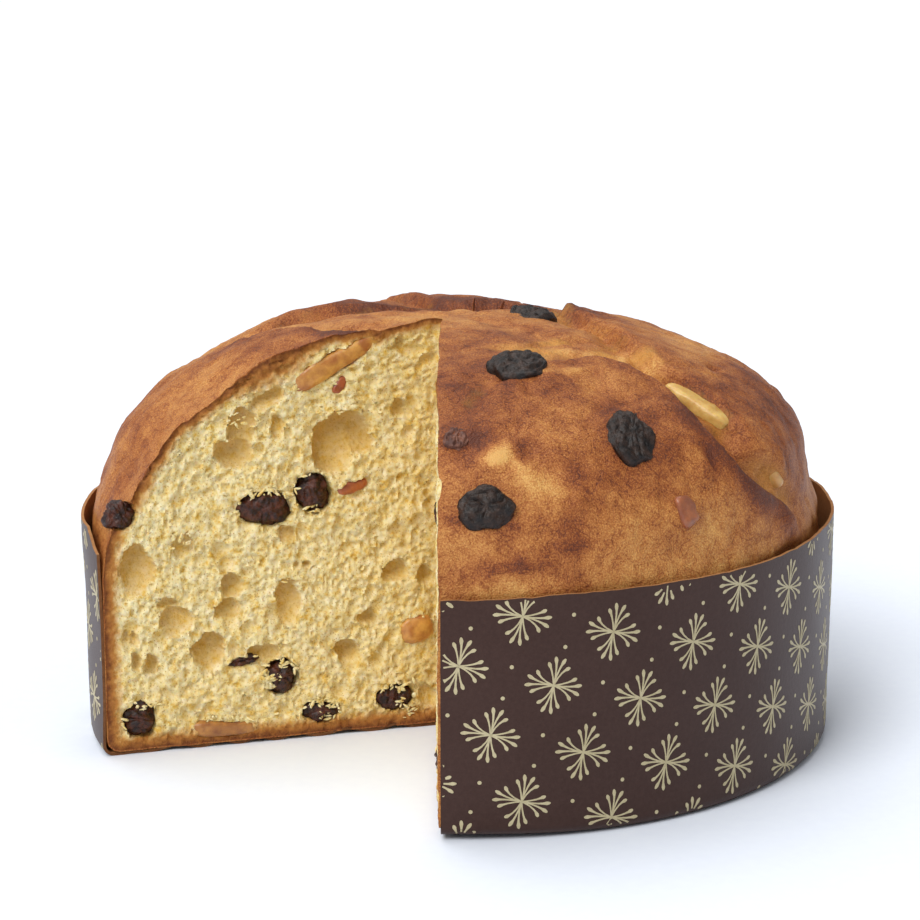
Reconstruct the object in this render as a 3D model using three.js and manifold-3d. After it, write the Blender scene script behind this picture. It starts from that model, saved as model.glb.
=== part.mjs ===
// A low, broad panettone in its paper baking case, with one slice cut out.
// Millimetres, +Z up. The origin is the centre of the case's underside.
// Azimuth is counted from +X towards +Y. The missing slice faces -X and -Y.

import * as THREE from 'three';
import { mergeVertices } from 'three/addons/utils/BufferGeometryUtils.js';
import Module from 'manifold-3d';

const wasm = await Module();
wasm.setup();

const DEG = Math.PI / 180;
const UP = new THREE.Vector3(0, 0, 1);
const MERGE_DISTANCE = 1e-4;

// Paper case
const CASE_RADIUS = 105;
const CASE_HEIGHT = 63.5;
const PAPER = 0.8;
const FOOT_ROUND = 3;
const CLEARANCE = 0.3;
const FRUIT_CLEARANCE = 1.2 * CLEARANCE;
const TORN_CORNER = { along: 5, down: 6, deep: 5 };

// Loaf
const LOAF_RADIUS = CASE_RADIUS - PAPER - CLEARANCE;
const LOAF_BASE = PAPER + CLEARANCE;
const LOAF_FOOT_ROUND = 3.4;
const BASE_ROW = 60;
const WALL_ROWS = [26, 50];
const DOME_RADIUS = 103;
const DOME_BASE = 58;
const DOME_RISE = 58;
const DOME_POWER = 2.6;
const AROUND = 72;
const FOOT_STEPS = 2;
const DOME_ROWS = 20;

// Missing slice: both cuts start at the apex and run outwards
const APEX = new THREE.Vector3(-4.4, -11.2, 0);
const CUTS = {
  left: { azimuth: 196.7 * DEG, side: 1, seed: 11 },
  front: { azimuth: 270 * DEG, side: -1, seed: 29 },
};
const CUT_REACH = 126;
const CUT_STEP = 5.6;
const CUT_BOTTOM = -4;
const CUT_TOP = 124;

// Unevenness of the torn crumb: spacing and height of its two layers of bumps
const COARSE_CRAG = { spacing: 9, height: 0.6 };
const FINE_CRAG = { spacing: 4.5, height: 0.7 };

// Low swellings of the whole dome: waves round it and their heights
const SWELLINGS = [{ waves: 2, phase: -0.6, height: 0.3 }, { waves: 3, phase: 1, height: 0.5 }];
const RIPPLE = { waves: 7, lean: 0.09, upward: 0.11, phase: 2, height: 0.5 };
const SWELLING_START = 20;

// Lips of the scored crust: arc down from the crown in mm, azimuth in degrees.
// The lifted flap lies to the right of the way that each list runs.
const FRONT_LIP = [
  [86, -91], [74, -86], [63, -79], [54, -65], [54, -50], [62, -43], [73, -41],
  [84, -43], [96, -43], [105, -40], [113, -33], [121, -28], [130, -26],
];
const BACK_LIP = [
  [118, -24], [110, -29], [101, -35], [88, -34], [76, -33], [65, -33], [54, -28],
  [40, -8], [33, 22], [26, 56], [24, 92], [30, 124], [44, 142], [60, 152], [74, 160],
];
const LEFT_LIP = [[76, 168], [60, 175], [46, 186], [34, 204], [26, 222]];
const RIGHT_SCORE = [[26, 20], [48, 40], [74, 46], [100, 48]];
const REAR_SCORE = [[24, 100], [50, 108], [78, 112], [104, 113]];
const FLAPS = [
  { lip: FRONT_LIP, lift: 3.0, back: 15, drop: 2.4, ahead: 9 },
  { lip: BACK_LIP, lift: 1.6, back: 15, drop: 2.8, ahead: 9 },
  { lip: LEFT_LIP, lift: 1.0, back: 12, drop: 2.2, ahead: 10 },
  { lip: RIGHT_SCORE, lift: 0.8, back: 12, drop: 2.2, ahead: 7 },
  { lip: REAR_SCORE, lift: 1.8, back: 12, drop: 1.6, ahead: 7 },
];
const LIP_SAMPLES = 48;
const LIP_SHARPNESS = 2.2;

// Where the crust rolls in at the left cut, and where it shrank off the case.
// A band gives the shares of the dome's rise between which it fades in and out.
const CUT_DENT = { azimuth: 203, width: 17, depth: 7, fadeIn: [0, 0.38], fadeOut: [0.76, 0.97] };
const SHRINK = { azimuth: -5, width: 48, depth: 2.8, fadeOut: [0.1, 0.5] };

// Bubbles of the left cut: distance from the apex, height, width, tallness, tilt
const LEFT_BUBBLES = [
  [28.2, 85.0, 17.0, 16.9, 20], [86.8, 52.0, 9.0, 14.9, 0], [57.7, 86.8, 9.7, 13.9, -25],
  [45.2, 39.8, 7.1, 13.8, 5], [67.2, 27.3, 9.8, 10.0, 0], [50.0, 97.5, 9.8, 4.6, 28],
  [75.9, 36.8, 8.3, 7.1, 0], [60.0, 44.0, 7.8, 7.1, 0], [27.4, 25.3, 7.2, 7.3, 0],
  [13.6, 46.2, 8.7, 5.8, 10],
];
const FRONT_BUBBLES = {
  count: 7, distance: [10, 90], height: [12, 94], width: [5, 12], tallness: [5, 13], tilt: 20,
};
const BUBBLE_DEPTH = 0.42;
const WIDE_BUBBLE = 12;
const GOLDEN_TURN = 0.618034;

// Fruit on the dome: arc from the crown, azimuth, length, width, thickness, turn
const DOME_RAISINS = [
  [23, 24, 15, 11, 7, 10], [53, -74, 17, 11, 7, 14], [90, -59, 14, 16, 8, -20],
  [107, -86, 15, 12, 7, 4], [87, -87.5, 6.5, 6, 5, 0], [62, 66, 15, 11, 7, 35],
  [92, 128, 14, 12, 7, -15], [102, 64, 13, 11, 7, 70],
];
const DOME_PEELS = [
  [79, -35.5, 20, 5.5, 5, 98, 'citron'], [112, -54, 6.5, 10, 5, 8, 'orange'],
  [110, -29, 7, 8, 6, 20, 'citron'],
];

// Fruit on the cuts: distance from the apex, height, length, thickness, tilt
const CUT_RAISINS = {
  left: [
    [50.8, 67, 16, 10.5, -8], [36.9, 70.2, 11, 12, 10], [47, 18.4, 11, 10.4, 10],
    [35.5, 7.2, 12, 6.5, 0], [14.1, 9.3, 11.5, 8.6, 0], [86.6, 9.6, 10, 11, 0],
    [91, 67.6, 9.5, 9, 30], [57.5, 23.7, 10.5, 3.8, 12],
  ],
  front: [[30, 31, 13, 10, 15], [63, 78, 15, 10, -20], [80, 18, 11, 9, 0]],
};
const CUT_PEELS = {
  left: [
    [29.5, 106.6, 26, 6, 27, 'orange'], [29.2, 100.1, 5.5, 3.4, 60, 'orange'],
    [26.2, 71.2, 9, 3.6, 15, 'orange'], [7.8, 28.9, 10, 8.5, 15, 'orange'],
    [63, 4.9, 19, 5, -4, 'citron'],
  ],
  front: [[44, 99, 16, 5, 24, 'orange'], [71, 50, 9, 5, 70, 'citron'], [22, 62, 10, 6, -30, 'orange']],
};

// Form of the fruit: shares of its size
const RAISIN_FOLDS = { broad: 0.07, fine: 0.06 };
const PEEL_FORM = { squareness: 0.55, taper: 0.35, bow: 0.18 };
const CUT_RAISIN_DEPTH = 0.8;

// Share of its thickness that a piece of fruit is sunk
const SUNK = { domeRaisin: 0.22, domePeel: 0.25, cutRaisin: 0.06, cutPeel: 0.12 };

// Finishes
const FINISHES = {
  crumb: new THREE.MeshStandardMaterial({ color: 0xd9a560, roughness: 0.75, metalness: 0 }),
  paper: new THREE.MeshStandardMaterial({ color: 0x3d2a25, roughness: 0.6, metalness: 0 }),
  raisin: new THREE.MeshStandardMaterial({ color: 0x241a18, roughness: 0.45, metalness: 0 }),
  citron: new THREE.MeshStandardMaterial({ color: 0xd8ac58, roughness: 0.4, metalness: 0 }),
  orange: new THREE.MeshStandardMaterial({ color: 0xc47a34, roughness: 0.4, metalness: 0 }),
};

// Small helpers

function smoothstep(low, high, value) {
  return THREE.MathUtils.smoothstep(value, low, high);
}

// Shortest way round from one azimuth to another, in degrees
function turnBetween(azimuth, other) {
  return ((azimuth - other + 540) % 360) - 180;
}

// Repeatable number from 0 to 1 for a point of a whole-number lattice
function lattice(x, y, seed) {
  const mixed = Math.sin(x * 127.1 + y * 311.7 + seed * 74.7) * 43758.5453;
  return mixed - Math.floor(mixed);
}

// Smooth field from -1 to 1 with the lattice's spacing
function field(x, y, seed) {
  const x0 = Math.floor(x);
  const y0 = Math.floor(y);
  const u = smoothstep(0, 1, x - x0);
  const v = smoothstep(0, 1, y - y0);
  const low = THREE.MathUtils.lerp(lattice(x0, y0, seed), lattice(x0 + 1, y0, seed), u);
  const high = THREE.MathUtils.lerp(lattice(x0, y0 + 1, seed), lattice(x0 + 1, y0 + 1, seed), u);
  return 2 * THREE.MathUtils.lerp(low, high, v) - 1;
}

// Closed surface of revolution whose section may change with the azimuth.
// A section runs from the axis at the bottom, outwards and up, back to the axis.
function revolve(section, segments) {
  const rows = section(0).length - 2;
  const positions = [0, 0, section(0)[0][1]];
  for (let column = 0; column < segments; column += 1) {
    const azimuth = (column / segments) * 2 * Math.PI;
    const outline = section(azimuth);
    for (let row = 1; row <= rows; row += 1) {
      const [r, z] = outline[row];
      positions.push(r * Math.cos(azimuth), r * Math.sin(azimuth), z);
    }
  }
  positions.push(0, 0, section(0)[rows + 1][1]);
  const crown = 1 + segments * rows;
  const at = (column, row) => 1 + (column % segments) * rows + row;
  const faces = [];
  for (let column = 0; column < segments; column += 1) {
    faces.push(0, at(column + 1, 0), at(column, 0));
    for (let row = 0; row < rows - 1; row += 1) {
      faces.push(at(column, row), at(column + 1, row), at(column + 1, row + 1));
      faces.push(at(column, row), at(column + 1, row + 1), at(column, row + 1));
    }
    faces.push(at(column, rows - 1), at(column + 1, rows - 1), crown);
  }
  const geometry = new THREE.BufferGeometry();
  geometry.setAttribute('position', new THREE.Float32BufferAttribute(positions, 3));
  geometry.setIndex(faces);
  return geometry;
}

// Points of a quarter round from the base into the wall, as section points
function footRound(radius, round, base) {
  const points = [];
  for (let step = 0; step <= FOOT_STEPS; step += 1) {
    const angle = (step / FOOT_STEPS) * 90 * DEG;
    points.push([radius - round + round * Math.sin(angle), base + round - round * Math.cos(angle)]);
  }
  return points;
}

// Solids that can be cut, and back again

function toSolid(geometry, matrix = new THREE.Matrix4()) {
  const bare = geometry.clone().applyMatrix4(matrix);
  bare.deleteAttribute('normal');
  bare.deleteAttribute('uv');
  const merged = mergeVertices(bare, MERGE_DISTANCE);
  return new wasm.Manifold(new wasm.Mesh({
    numProp: 3,
    vertProperties: new Float32Array(merged.attributes.position.array),
    triVerts: new Uint32Array(merged.index.array),
  }));
}

function toGeometry(solid) {
  const mesh = solid.getMesh();
  const geometry = new THREE.BufferGeometry();
  geometry.setAttribute('position', new THREE.Float32BufferAttribute(mesh.vertProperties, 3));
  geometry.setIndex(Array.from(mesh.triVerts));
  geometry.computeVertexNormals();
  return geometry;
}

// Frame of a cut at a distance from the apex and a height: X runs outwards
// along the cut, Y up and Z out of the loaf
function cutFrame(cut, distance, height, out) {
  const along = new THREE.Vector3(Math.cos(cut.azimuth), Math.sin(cut.azimuth), 0);
  const normal = new THREE.Vector3().crossVectors(UP, along).multiplyScalar(cut.side);
  const place = APEX.clone().addScaledVector(along, distance).addScaledVector(normal, out);
  place.z = height;
  const right = new THREE.Vector3().crossVectors(UP, normal);
  return new THREE.Matrix4().makeBasis(right, UP, normal).setPosition(place);
}

// Dome: a superelliptic crown, measured by the arc down from its centre

function crownSection(angle) {
  const r = DOME_RADIUS * Math.cos(angle) ** (2 / DOME_POWER);
  const z = DOME_BASE + DOME_RISE * Math.sin(angle) ** (2 / DOME_POWER);
  return [r, z];
}

const ARC_STEPS = 400;
const ARC_TABLE = [[0, 0, DOME_BASE + DOME_RISE]];
for (let step = 1; step <= ARC_STEPS; step += 1) {
  const [r, z] = crownSection((1 - step / ARC_STEPS) * 90 * DEG);
  const [arc, lastR, lastZ] = ARC_TABLE[step - 1];
  ARC_TABLE.push([arc + Math.hypot(r - lastR, z - lastZ), r, z]);
}

// Point of the plain dome at an arc from the crown and an azimuth in degrees
function domePoint(arc, azimuth) {
  const next = ARC_TABLE.findIndex((entry) => entry[0] >= arc);
  const last = next < 0 ? ARC_STEPS : Math.max(next, 1);
  const [a1, r1, z1] = ARC_TABLE[last];
  const [a0, r0, z0] = ARC_TABLE[last - 1];
  const share = THREE.MathUtils.clamp((arc - a0) / (a1 - a0), 0, 1);
  const r = THREE.MathUtils.lerp(r0, r1, share);
  const z = THREE.MathUtils.lerp(z0, z1, share);
  return new THREE.Vector3(r * Math.cos(azimuth * DEG), r * Math.sin(azimuth * DEG), z);
}

function domeNormal(point) {
  const r = Math.hypot(point.x, point.y);
  const outward = (r / DOME_RADIUS) ** (DOME_POWER - 1) / DOME_RADIUS;
  const rise = Math.max(point.z - DOME_BASE, 0) / DOME_RISE;
  const upward = rise ** (DOME_POWER - 1) / DOME_RISE;
  const share = r > 0 ? outward / r : 0;
  return new THREE.Vector3(point.x * share, point.y * share, upward).normalize();
}

const LIPS = FLAPS.map((flap) => {
  const curve = new THREE.CatmullRomCurve3(flap.lip.map(([arc, azimuth]) => domePoint(arc, azimuth)));
  return { flap, points: curve.getPoints(LIP_SAMPLES) };
});

// Height of one flap's edge over the plain dome: up on the flap, down beyond it
function flapRelief({ flap, points }, point) {
  let nearest = 0;
  for (let index = 1; index < points.length; index += 1) {
    if (points[index].distanceToSquared(point) < points[nearest].distanceToSquared(point)) {
      nearest = index;
    }
  }
  const before = points[Math.max(nearest - 1, 0)];
  const after = points[Math.min(nearest + 1, points.length - 1)];
  const away = point.clone().sub(points[nearest]);
  const across = after.clone().sub(before).cross(away);
  const side = across.dot(domeNormal(point)) < 0 ? 1 : -1;
  const distance = side * away.length();
  const along = nearest / (points.length - 1);
  const ends = smoothstep(0, 0.1, along) * smoothstep(0, 0.1, 1 - along);
  const raised = flap.lift * Math.exp(-((distance / flap.back) ** 2));
  const lowered = -flap.drop * Math.exp(-((distance / flap.ahead) ** 2));
  const share = 0.5 + 0.5 * Math.tanh(distance / LIP_SHARPNESS);
  return ends * THREE.MathUtils.lerp(lowered, raised, share);
}

// Low swellings of the whole dome
function swelling(azimuth, height) {
  const around = Math.sin(RIPPLE.waves * azimuth + RIPPLE.lean * height);
  let total = around * Math.sin(RIPPLE.upward * height + RIPPLE.phase) * RIPPLE.height;
  for (const swell of SWELLINGS) {
    total += Math.sin(swell.waves * azimuth + swell.phase) * swell.height;
  }
  return total * smoothstep(DOME_BASE, DOME_BASE + SWELLING_START, height);
}

// Point of the finished crust above a point of the plain dome
function crustPoint(plain) {
  const azimuth = Math.atan2(plain.y, plain.x);
  const rise = (plain.z - DOME_BASE) / DOME_RISE;
  let height = swelling(azimuth, plain.z);
  for (const lip of LIPS) {
    height += flapRelief(lip, plain);
  }
  const dentTurn = turnBetween(azimuth / DEG, CUT_DENT.azimuth) / CUT_DENT.width;
  const dentBand = smoothstep(...CUT_DENT.fadeIn, rise) * (1 - smoothstep(...CUT_DENT.fadeOut, rise));
  height -= CUT_DENT.depth * Math.exp(-(dentTurn ** 2)) * dentBand;
  const shrinkTurn = turnBetween(azimuth / DEG, SHRINK.azimuth) / SHRINK.width;
  const shrinkBand = 1 - smoothstep(...SHRINK.fadeOut, rise);
  height -= SHRINK.depth * Math.exp(-(shrinkTurn ** 2)) * shrinkBand;
  return plain.clone().addScaledVector(domeNormal(plain), height);
}

function loafSection(azimuth) {
  const outline = [[0, LOAF_BASE], [BASE_ROW, LOAF_BASE]];
  outline.push(...footRound(LOAF_RADIUS, LOAF_FOOT_ROUND, LOAF_BASE));
  for (const height of WALL_ROWS) {
    outline.push([LOAF_RADIUS, height]);
  }
  for (let row = 0; row < DOME_ROWS; row += 1) {
    const arc = ARC_TABLE[ARC_STEPS][0] * (1 - row / DOME_ROWS);
    const point = crustPoint(domePoint(arc, azimuth / DEG));
    outline.push([Math.hypot(point.x, point.y), point.z]);
  }
  outline.push([0, DOME_BASE + DOME_RISE]);
  return outline;
}

// Wedge that takes the slice out. Its two faces are wavy where they tear the crumb.
function wedge(relief) {
  const half = Math.round(CUT_REACH / CUT_STEP);
  const columns = 2 * half;
  const rows = Math.round((CUT_TOP - CUT_BOTTOM) / CUT_STEP);
  const positions = [];
  for (let row = 0; row <= rows; row += 1) {
    const height = THREE.MathUtils.lerp(CUT_BOTTOM, CUT_TOP, row / rows);
    for (let column = 0; column <= columns; column += 1) {
      const distance = Math.abs(column - half) * CUT_STEP;
      const cut = column < half ? CUTS.left : CUTS.front;
      const inside = row > 0 && row < rows && distance > 0;
      const out = inside ? relief * crag(distance, height, cut.seed) : 0;
      const point = new THREE.Vector3().setFromMatrixPosition(cutFrame(cut, distance, height, out));
      positions.push(point.x, point.y, point.z);
    }
  }
  const at = (row, column) => row * (columns + 1) + column;
  const faces = [];
  for (let row = 0; row < rows; row += 1) {
    for (let column = 0; column < columns; column += 1) {
      faces.push(at(row, column), at(row + 1, column + 1), at(row, column + 1));
      faces.push(at(row, column), at(row + 1, column), at(row + 1, column + 1));
    }
    faces.push(at(row, 0), at(row, columns), at(row + 1, columns));
    faces.push(at(row, 0), at(row + 1, columns), at(row + 1, 0));
  }
  for (let pair = 0; pair < half; pair += 1) {
    const other = columns - pair;
    faces.push(at(0, pair), at(0, pair + 1), at(0, other));
    faces.push(at(rows, pair), at(rows, other), at(rows, pair + 1));
    if (pair + 1 < half) {
      faces.push(at(0, pair + 1), at(0, other - 1), at(0, other));
      faces.push(at(rows, pair + 1), at(rows, other), at(rows, other - 1));
    }
  }
  const geometry = new THREE.BufferGeometry();
  geometry.setAttribute('position', new THREE.Float32BufferAttribute(positions, 3));
  geometry.setIndex(faces);
  return toSolid(geometry);
}

// Unevenness of a torn crumb face
function crag(distance, height, seed) {
  const coarse = field(distance / COARSE_CRAG.spacing, height / COARSE_CRAG.spacing, seed);
  const fine = field(distance / FINE_CRAG.spacing, height / FINE_CRAG.spacing, seed + 3);
  return COARSE_CRAG.height * coarse + FINE_CRAG.height * fine;
}

// Open bubble of the crumb, an egg-shaped pit centred on the cut
function bubble(cut, [distance, height, width, tallness, tilt]) {
  const wide = Math.min(width, tallness) > WIDE_BUBBLE;
  const pit = new THREE.IcosahedronGeometry(0.5, wide ? 2 : 1);
  const turn = new THREE.Matrix4().makeRotationZ(tilt * DEG);
  const depth = 2 * BUBBLE_DEPTH * Math.min(width, tallness);
  const size = new THREE.Matrix4().makeScale(width, tallness, depth);
  return toSolid(pit, cutFrame(cut, distance, height, 0).multiply(turn).multiply(size));
}

// Bubbles of the front cut, spread evenly by a rule and uneven in size
function frontBubbles() {
  const seed = 5;
  const list = [];
  for (let index = 0; index < FRONT_BUBBLES.count; index += 1) {
    const away = (index * GOLDEN_TURN + 0.2) % 1;
    const upward = (index + 0.5) / FRONT_BUBBLES.count;
    list.push([
      THREE.MathUtils.lerp(...FRONT_BUBBLES.distance, away),
      THREE.MathUtils.lerp(...FRONT_BUBBLES.height, upward),
      THREE.MathUtils.lerp(...FRONT_BUBBLES.width, lattice(index, 1, seed)),
      THREE.MathUtils.lerp(...FRONT_BUBBLES.tallness, lattice(index, 2, seed)),
      FRONT_BUBBLES.tilt * (2 * lattice(index, 3, seed) - 1),
    ]);
  }
  return list;
}

// Fruit: unit shapes with a length along X, a width along Y and a thickness along Z

function wrinkledBall(seed) {
  const ball = new THREE.SphereGeometry(0.5, 8, 6);
  ball.deleteAttribute('normal');
  ball.deleteAttribute('uv');
  const merged = mergeVertices(ball, MERGE_DISTANCE);
  const position = merged.attributes.position;
  const point = new THREE.Vector3();
  for (let index = 0; index < position.count; index += 1) {
    point.fromBufferAttribute(position, index);
    const angle = Math.atan2(point.y, point.x);
    const broad = Math.sin(3 * angle + seed) * RAISIN_FOLDS.broad;
    const fine = Math.sin(5 * angle + 9 * point.z + 2 * seed) * RAISIN_FOLDS.fine;
    point.multiplyScalar(1 + broad + fine);
    position.setXYZ(index, point.x, point.y, point.z);
  }
  return merged;
}

// Cut strip of peel: a rounded bar, thinner at one end and a little bowed
function peelBar(seed) {
  const bar = new THREE.SphereGeometry(0.5, 6, 6);
  bar.rotateZ(90 * DEG);
  bar.deleteAttribute('normal');
  bar.deleteAttribute('uv');
  const merged = mergeVertices(bar, MERGE_DISTANCE);
  const position = merged.attributes.position;
  for (let index = 0; index < position.count; index += 1) {
    const [x, y, z] = [position.getX(index), position.getY(index), position.getZ(index)]
      .map((value) => 0.5 * Math.sign(value) * Math.abs(2 * value) ** PEEL_FORM.squareness);
    const taper = 1 - PEEL_FORM.taper * (x + 0.5) * (0.6 + 0.4 * Math.sin(seed));
    const bow = PEEL_FORM.bow * (x * x - 0.1) * Math.cos(2 * seed);
    position.setXYZ(index, x, y * taper + bow, z * taper);
  }
  return merged;
}

function fruitMesh(name, shape, frame, size, finish) {
  const geometry = shape.clone().scale(...size);
  geometry.computeVertexNormals();
  const mesh = new THREE.Mesh(geometry, FINISHES[finish]);
  mesh.name = name;
  mesh.applyMatrix4(frame);
  mesh.updateMatrixWorld();
  return mesh;
}

// Room for a piece of fruit: the same shape, larger by the clearance all round
function roomFor(mesh) {
  const box = new THREE.Box3().setFromBufferAttribute(mesh.geometry.attributes.position);
  const smallest = Math.min(...box.getSize(new THREE.Vector3()).toArray());
  const growth = 1 + (2 * FRUIT_CLEARANCE) / smallest;
  const grown = mesh.matrixWorld.clone().scale(new THREE.Vector3(growth, growth, growth));
  return toSolid(mesh.geometry, grown);
}

// Frame on the crust: X along the azimuth, Y up towards the crown, Z outwards
function crustFrame(arc, azimuth, turn, sunk) {
  const plain = domePoint(arc, azimuth);
  const normal = domeNormal(plain);
  const right = new THREE.Vector3().crossVectors(UP, normal).normalize();
  const upward = new THREE.Vector3().crossVectors(normal, right);
  const place = crustPoint(plain).addScaledVector(normal, -sunk);
  const frame = new THREE.Matrix4().makeBasis(right, upward, normal).setPosition(place);
  return frame.multiply(new THREE.Matrix4().makeRotationZ(turn * DEG));
}

function domeRaisin([arc, azimuth, length, width, thickness, turn], index) {
  const frame = crustFrame(arc, azimuth, turn, thickness * SUNK.domeRaisin);
  const size = [length, width, thickness];
  return fruitMesh(`raisin_dome_${index + 1}`, wrinkledBall(index), frame, size, 'raisin');
}

function domePeel([arc, azimuth, length, width, thickness, turn, finish], index) {
  const frame = crustFrame(arc, azimuth, turn, thickness * SUNK.domePeel);
  const size = [length, width, thickness];
  return fruitMesh(`peel_dome_${index + 1}`, peelBar(index), frame, size, finish);
}

function cutRaisin(side, [distance, height, length, thickness, tilt], index) {
  const frame = cutFrame(CUTS[side], distance, height, -SUNK.cutRaisin * thickness);
  frame.multiply(new THREE.Matrix4().makeRotationZ(tilt * DEG));
  const size = [length, thickness, Math.min(length, thickness) * CUT_RAISIN_DEPTH];
  return fruitMesh(`raisin_${side}_${index + 1}`, wrinkledBall(index + 4), frame, size, 'raisin');
}

function cutPeel(side, [distance, height, length, thickness, tilt, finish], index) {
  const frame = cutFrame(CUTS[side], distance, height, -SUNK.cutPeel * thickness);
  frame.multiply(new THREE.Matrix4().makeRotationZ(tilt * DEG));
  const size = [length, thickness, thickness];
  return fruitMesh(`peel_${side}_${index + 1}`, peelBar(index + 2), frame, size, finish);
}

function allFruit() {
  const fruit = [...DOME_RAISINS.map(domeRaisin), ...DOME_PEELS.map(domePeel)];
  for (const side of ['left', 'front']) {
    CUT_RAISINS[side].forEach((entry, index) => fruit.push(cutRaisin(side, entry, index)));
    CUT_PEELS[side].forEach((entry, index) => fruit.push(cutPeel(side, entry, index)));
  }
  return fruit;
}

function makeLoaf(fruit) {
  let solid = toSolid(revolve(loafSection, AROUND)).subtract(wedge(1));
  for (const entry of LEFT_BUBBLES) {
    solid = solid.subtract(bubble(CUTS.left, entry));
  }
  for (const entry of frontBubbles()) {
    solid = solid.subtract(bubble(CUTS.front, entry));
  }
  for (const piece of fruit) {
    solid = solid.subtract(roomFor(piece));
  }
  const mesh = new THREE.Mesh(toGeometry(solid), FINISHES.crumb);
  mesh.name = 'loaf';
  return mesh;
}

// Cup of paper with a rounded foot, open where the slice was
function makeCase() {
  const section = () => {
    const inner = footRound(CASE_RADIUS - PAPER, FOOT_ROUND - PAPER, PAPER).reverse();
    return [
      [0, 0],
      ...footRound(CASE_RADIUS, FOOT_ROUND, 0),
      [CASE_RADIUS, CASE_HEIGHT],
      [CASE_RADIUS - PAPER, CASE_HEIGHT],
      ...inner,
      [0, PAPER],
    ];
  };
  const corner = new THREE.SphereGeometry(1, 10, 6);
  const reach = CASE_RADIUS - APEX.length() * Math.cos(CUTS.left.azimuth - Math.atan2(APEX.y, APEX.x));
  const place = cutFrame(CUTS.left, reach, CASE_HEIGHT, 0);
  const size = new THREE.Matrix4().makeScale(TORN_CORNER.deep, TORN_CORNER.down, TORN_CORNER.along);
  const solid = toSolid(revolve(section, AROUND))
    .subtract(wedge(0))
    .subtract(toSolid(corner, place.multiply(size)));
  const mesh = new THREE.Mesh(toGeometry(solid), FINISHES.paper);
  mesh.name = 'paper_case';
  return mesh;
}

const fruit = allFruit();
const panettone = new THREE.Group();
panettone.add(makeLoaf(fruit), makeCase(), ...fruit);

export default panettone;
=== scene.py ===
import math
from itertools import product

import bpy
import numpy as np
from mathutils import Matrix, Vector
from mathutils.bvhtree import BVHTree


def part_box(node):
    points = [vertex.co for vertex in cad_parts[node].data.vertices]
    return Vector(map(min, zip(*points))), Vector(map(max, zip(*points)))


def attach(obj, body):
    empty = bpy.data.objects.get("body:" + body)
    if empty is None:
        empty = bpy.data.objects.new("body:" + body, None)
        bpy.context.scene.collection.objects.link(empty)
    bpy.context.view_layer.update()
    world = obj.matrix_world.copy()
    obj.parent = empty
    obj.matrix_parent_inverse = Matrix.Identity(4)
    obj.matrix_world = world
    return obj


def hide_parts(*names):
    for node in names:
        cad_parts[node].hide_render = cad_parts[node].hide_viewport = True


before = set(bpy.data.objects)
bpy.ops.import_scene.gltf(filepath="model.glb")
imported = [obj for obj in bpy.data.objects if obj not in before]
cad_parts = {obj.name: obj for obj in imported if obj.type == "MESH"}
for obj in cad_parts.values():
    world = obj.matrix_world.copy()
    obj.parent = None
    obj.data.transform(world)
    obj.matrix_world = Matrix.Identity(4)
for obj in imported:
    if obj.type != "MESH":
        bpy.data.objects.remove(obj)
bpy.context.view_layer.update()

bl_info = {
    "name": "Panettone Maker",
    "version": (1, 0, 0),
    "blender": (4, 5, 0),
    "location": "View3D > Sidebar > Panettone",
    "description": "Bakes a cut panettone with its fruit and its paper case around the packed solids",
    "category": "Object",
}

# The solids' box, and the sizes that come from it
CASE_LOW, CASE_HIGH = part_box("paper_case")
MM = 0.001
DEG = math.pi / 180
UP = np.array([0.0, 0.0, 1.0])

# Paper case, in millimetres
CASE_RADIUS = (CASE_HIGH.x - CASE_LOW.x) / 2 / MM
CASE_HEIGHT = (CASE_HIGH.z - CASE_LOW.z) / MM
PAPER = 0.8
FOOT_ROUND = 3.0
CASE_COLUMNS = 288
CASE_FOOT_STEPS = 5
CASE_WALL_ROWS = 16
TORN_DROP = 6.0
TORN_REACH = 8.5
# Where the wall's own waves begin and are in full, and how the foot lifts: height, reach along and up
WAVES_BEGIN, WAVES_FULL = 4, 16
FOOT_LIFT, LIFT_ALONG, LIFT_UP = 1.25, 32, 26

# Print on the case: lattice steps and first rosette, along the wall and up from the base
PRINT_HEIGHT = 0.06
PRINT_DEEP = 0.1
TURNS_ALONG, TURNS_DOWN = 31, 10
STEP_DOWN = np.array([7.95, -18.4])
STEP_ALONG = (np.array([2 * math.pi * CASE_RADIUS, 0.0]) + TURNS_DOWN * STEP_DOWN) / TURNS_ALONG
FIRST_ROSETTE = np.array([39.8, 53.0])
DOT_PLACES = [(0.61, 0.83), (0.34, 0.36)]
DOT_RADIUS = 0.55
# Arms of one quarter of a rosette: heading, reach, where it leaves its stem, stem heading
ROSETTE_ARMS = [(12, 6.3, 0.45, 2), (-5, 7.5, 0.42, -14), (-26, 7.4, 0.42, -14), (-46, 6.1, 0.5, -26)]
ARM_BEND = 1.3
# Stations along an arm from its root to its tip, and the half width at each: a thin stem, a round head
ARM_PLACES = (0.02, 0.3, 0.55, 0.72, 0.86, 0.95, 1.0)
ARM_HALVES = (0.19, 0.19, 0.2185, 0.28, 0.5, 0.38, 0.14)
DOT_CORNERS = 8
CENTRE_DOT = 0.7
# The print's rows in the lattice, and how near it comes to the foot, the rim and the cuts
PRINT_ROWS = range(-16, 8)
PRINT_LOW, PRINT_HIGH, PRINT_EDGE = 0.7, CASE_HEIGHT - 0.3, 0.25
ROSETTE_REACH = 20

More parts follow.
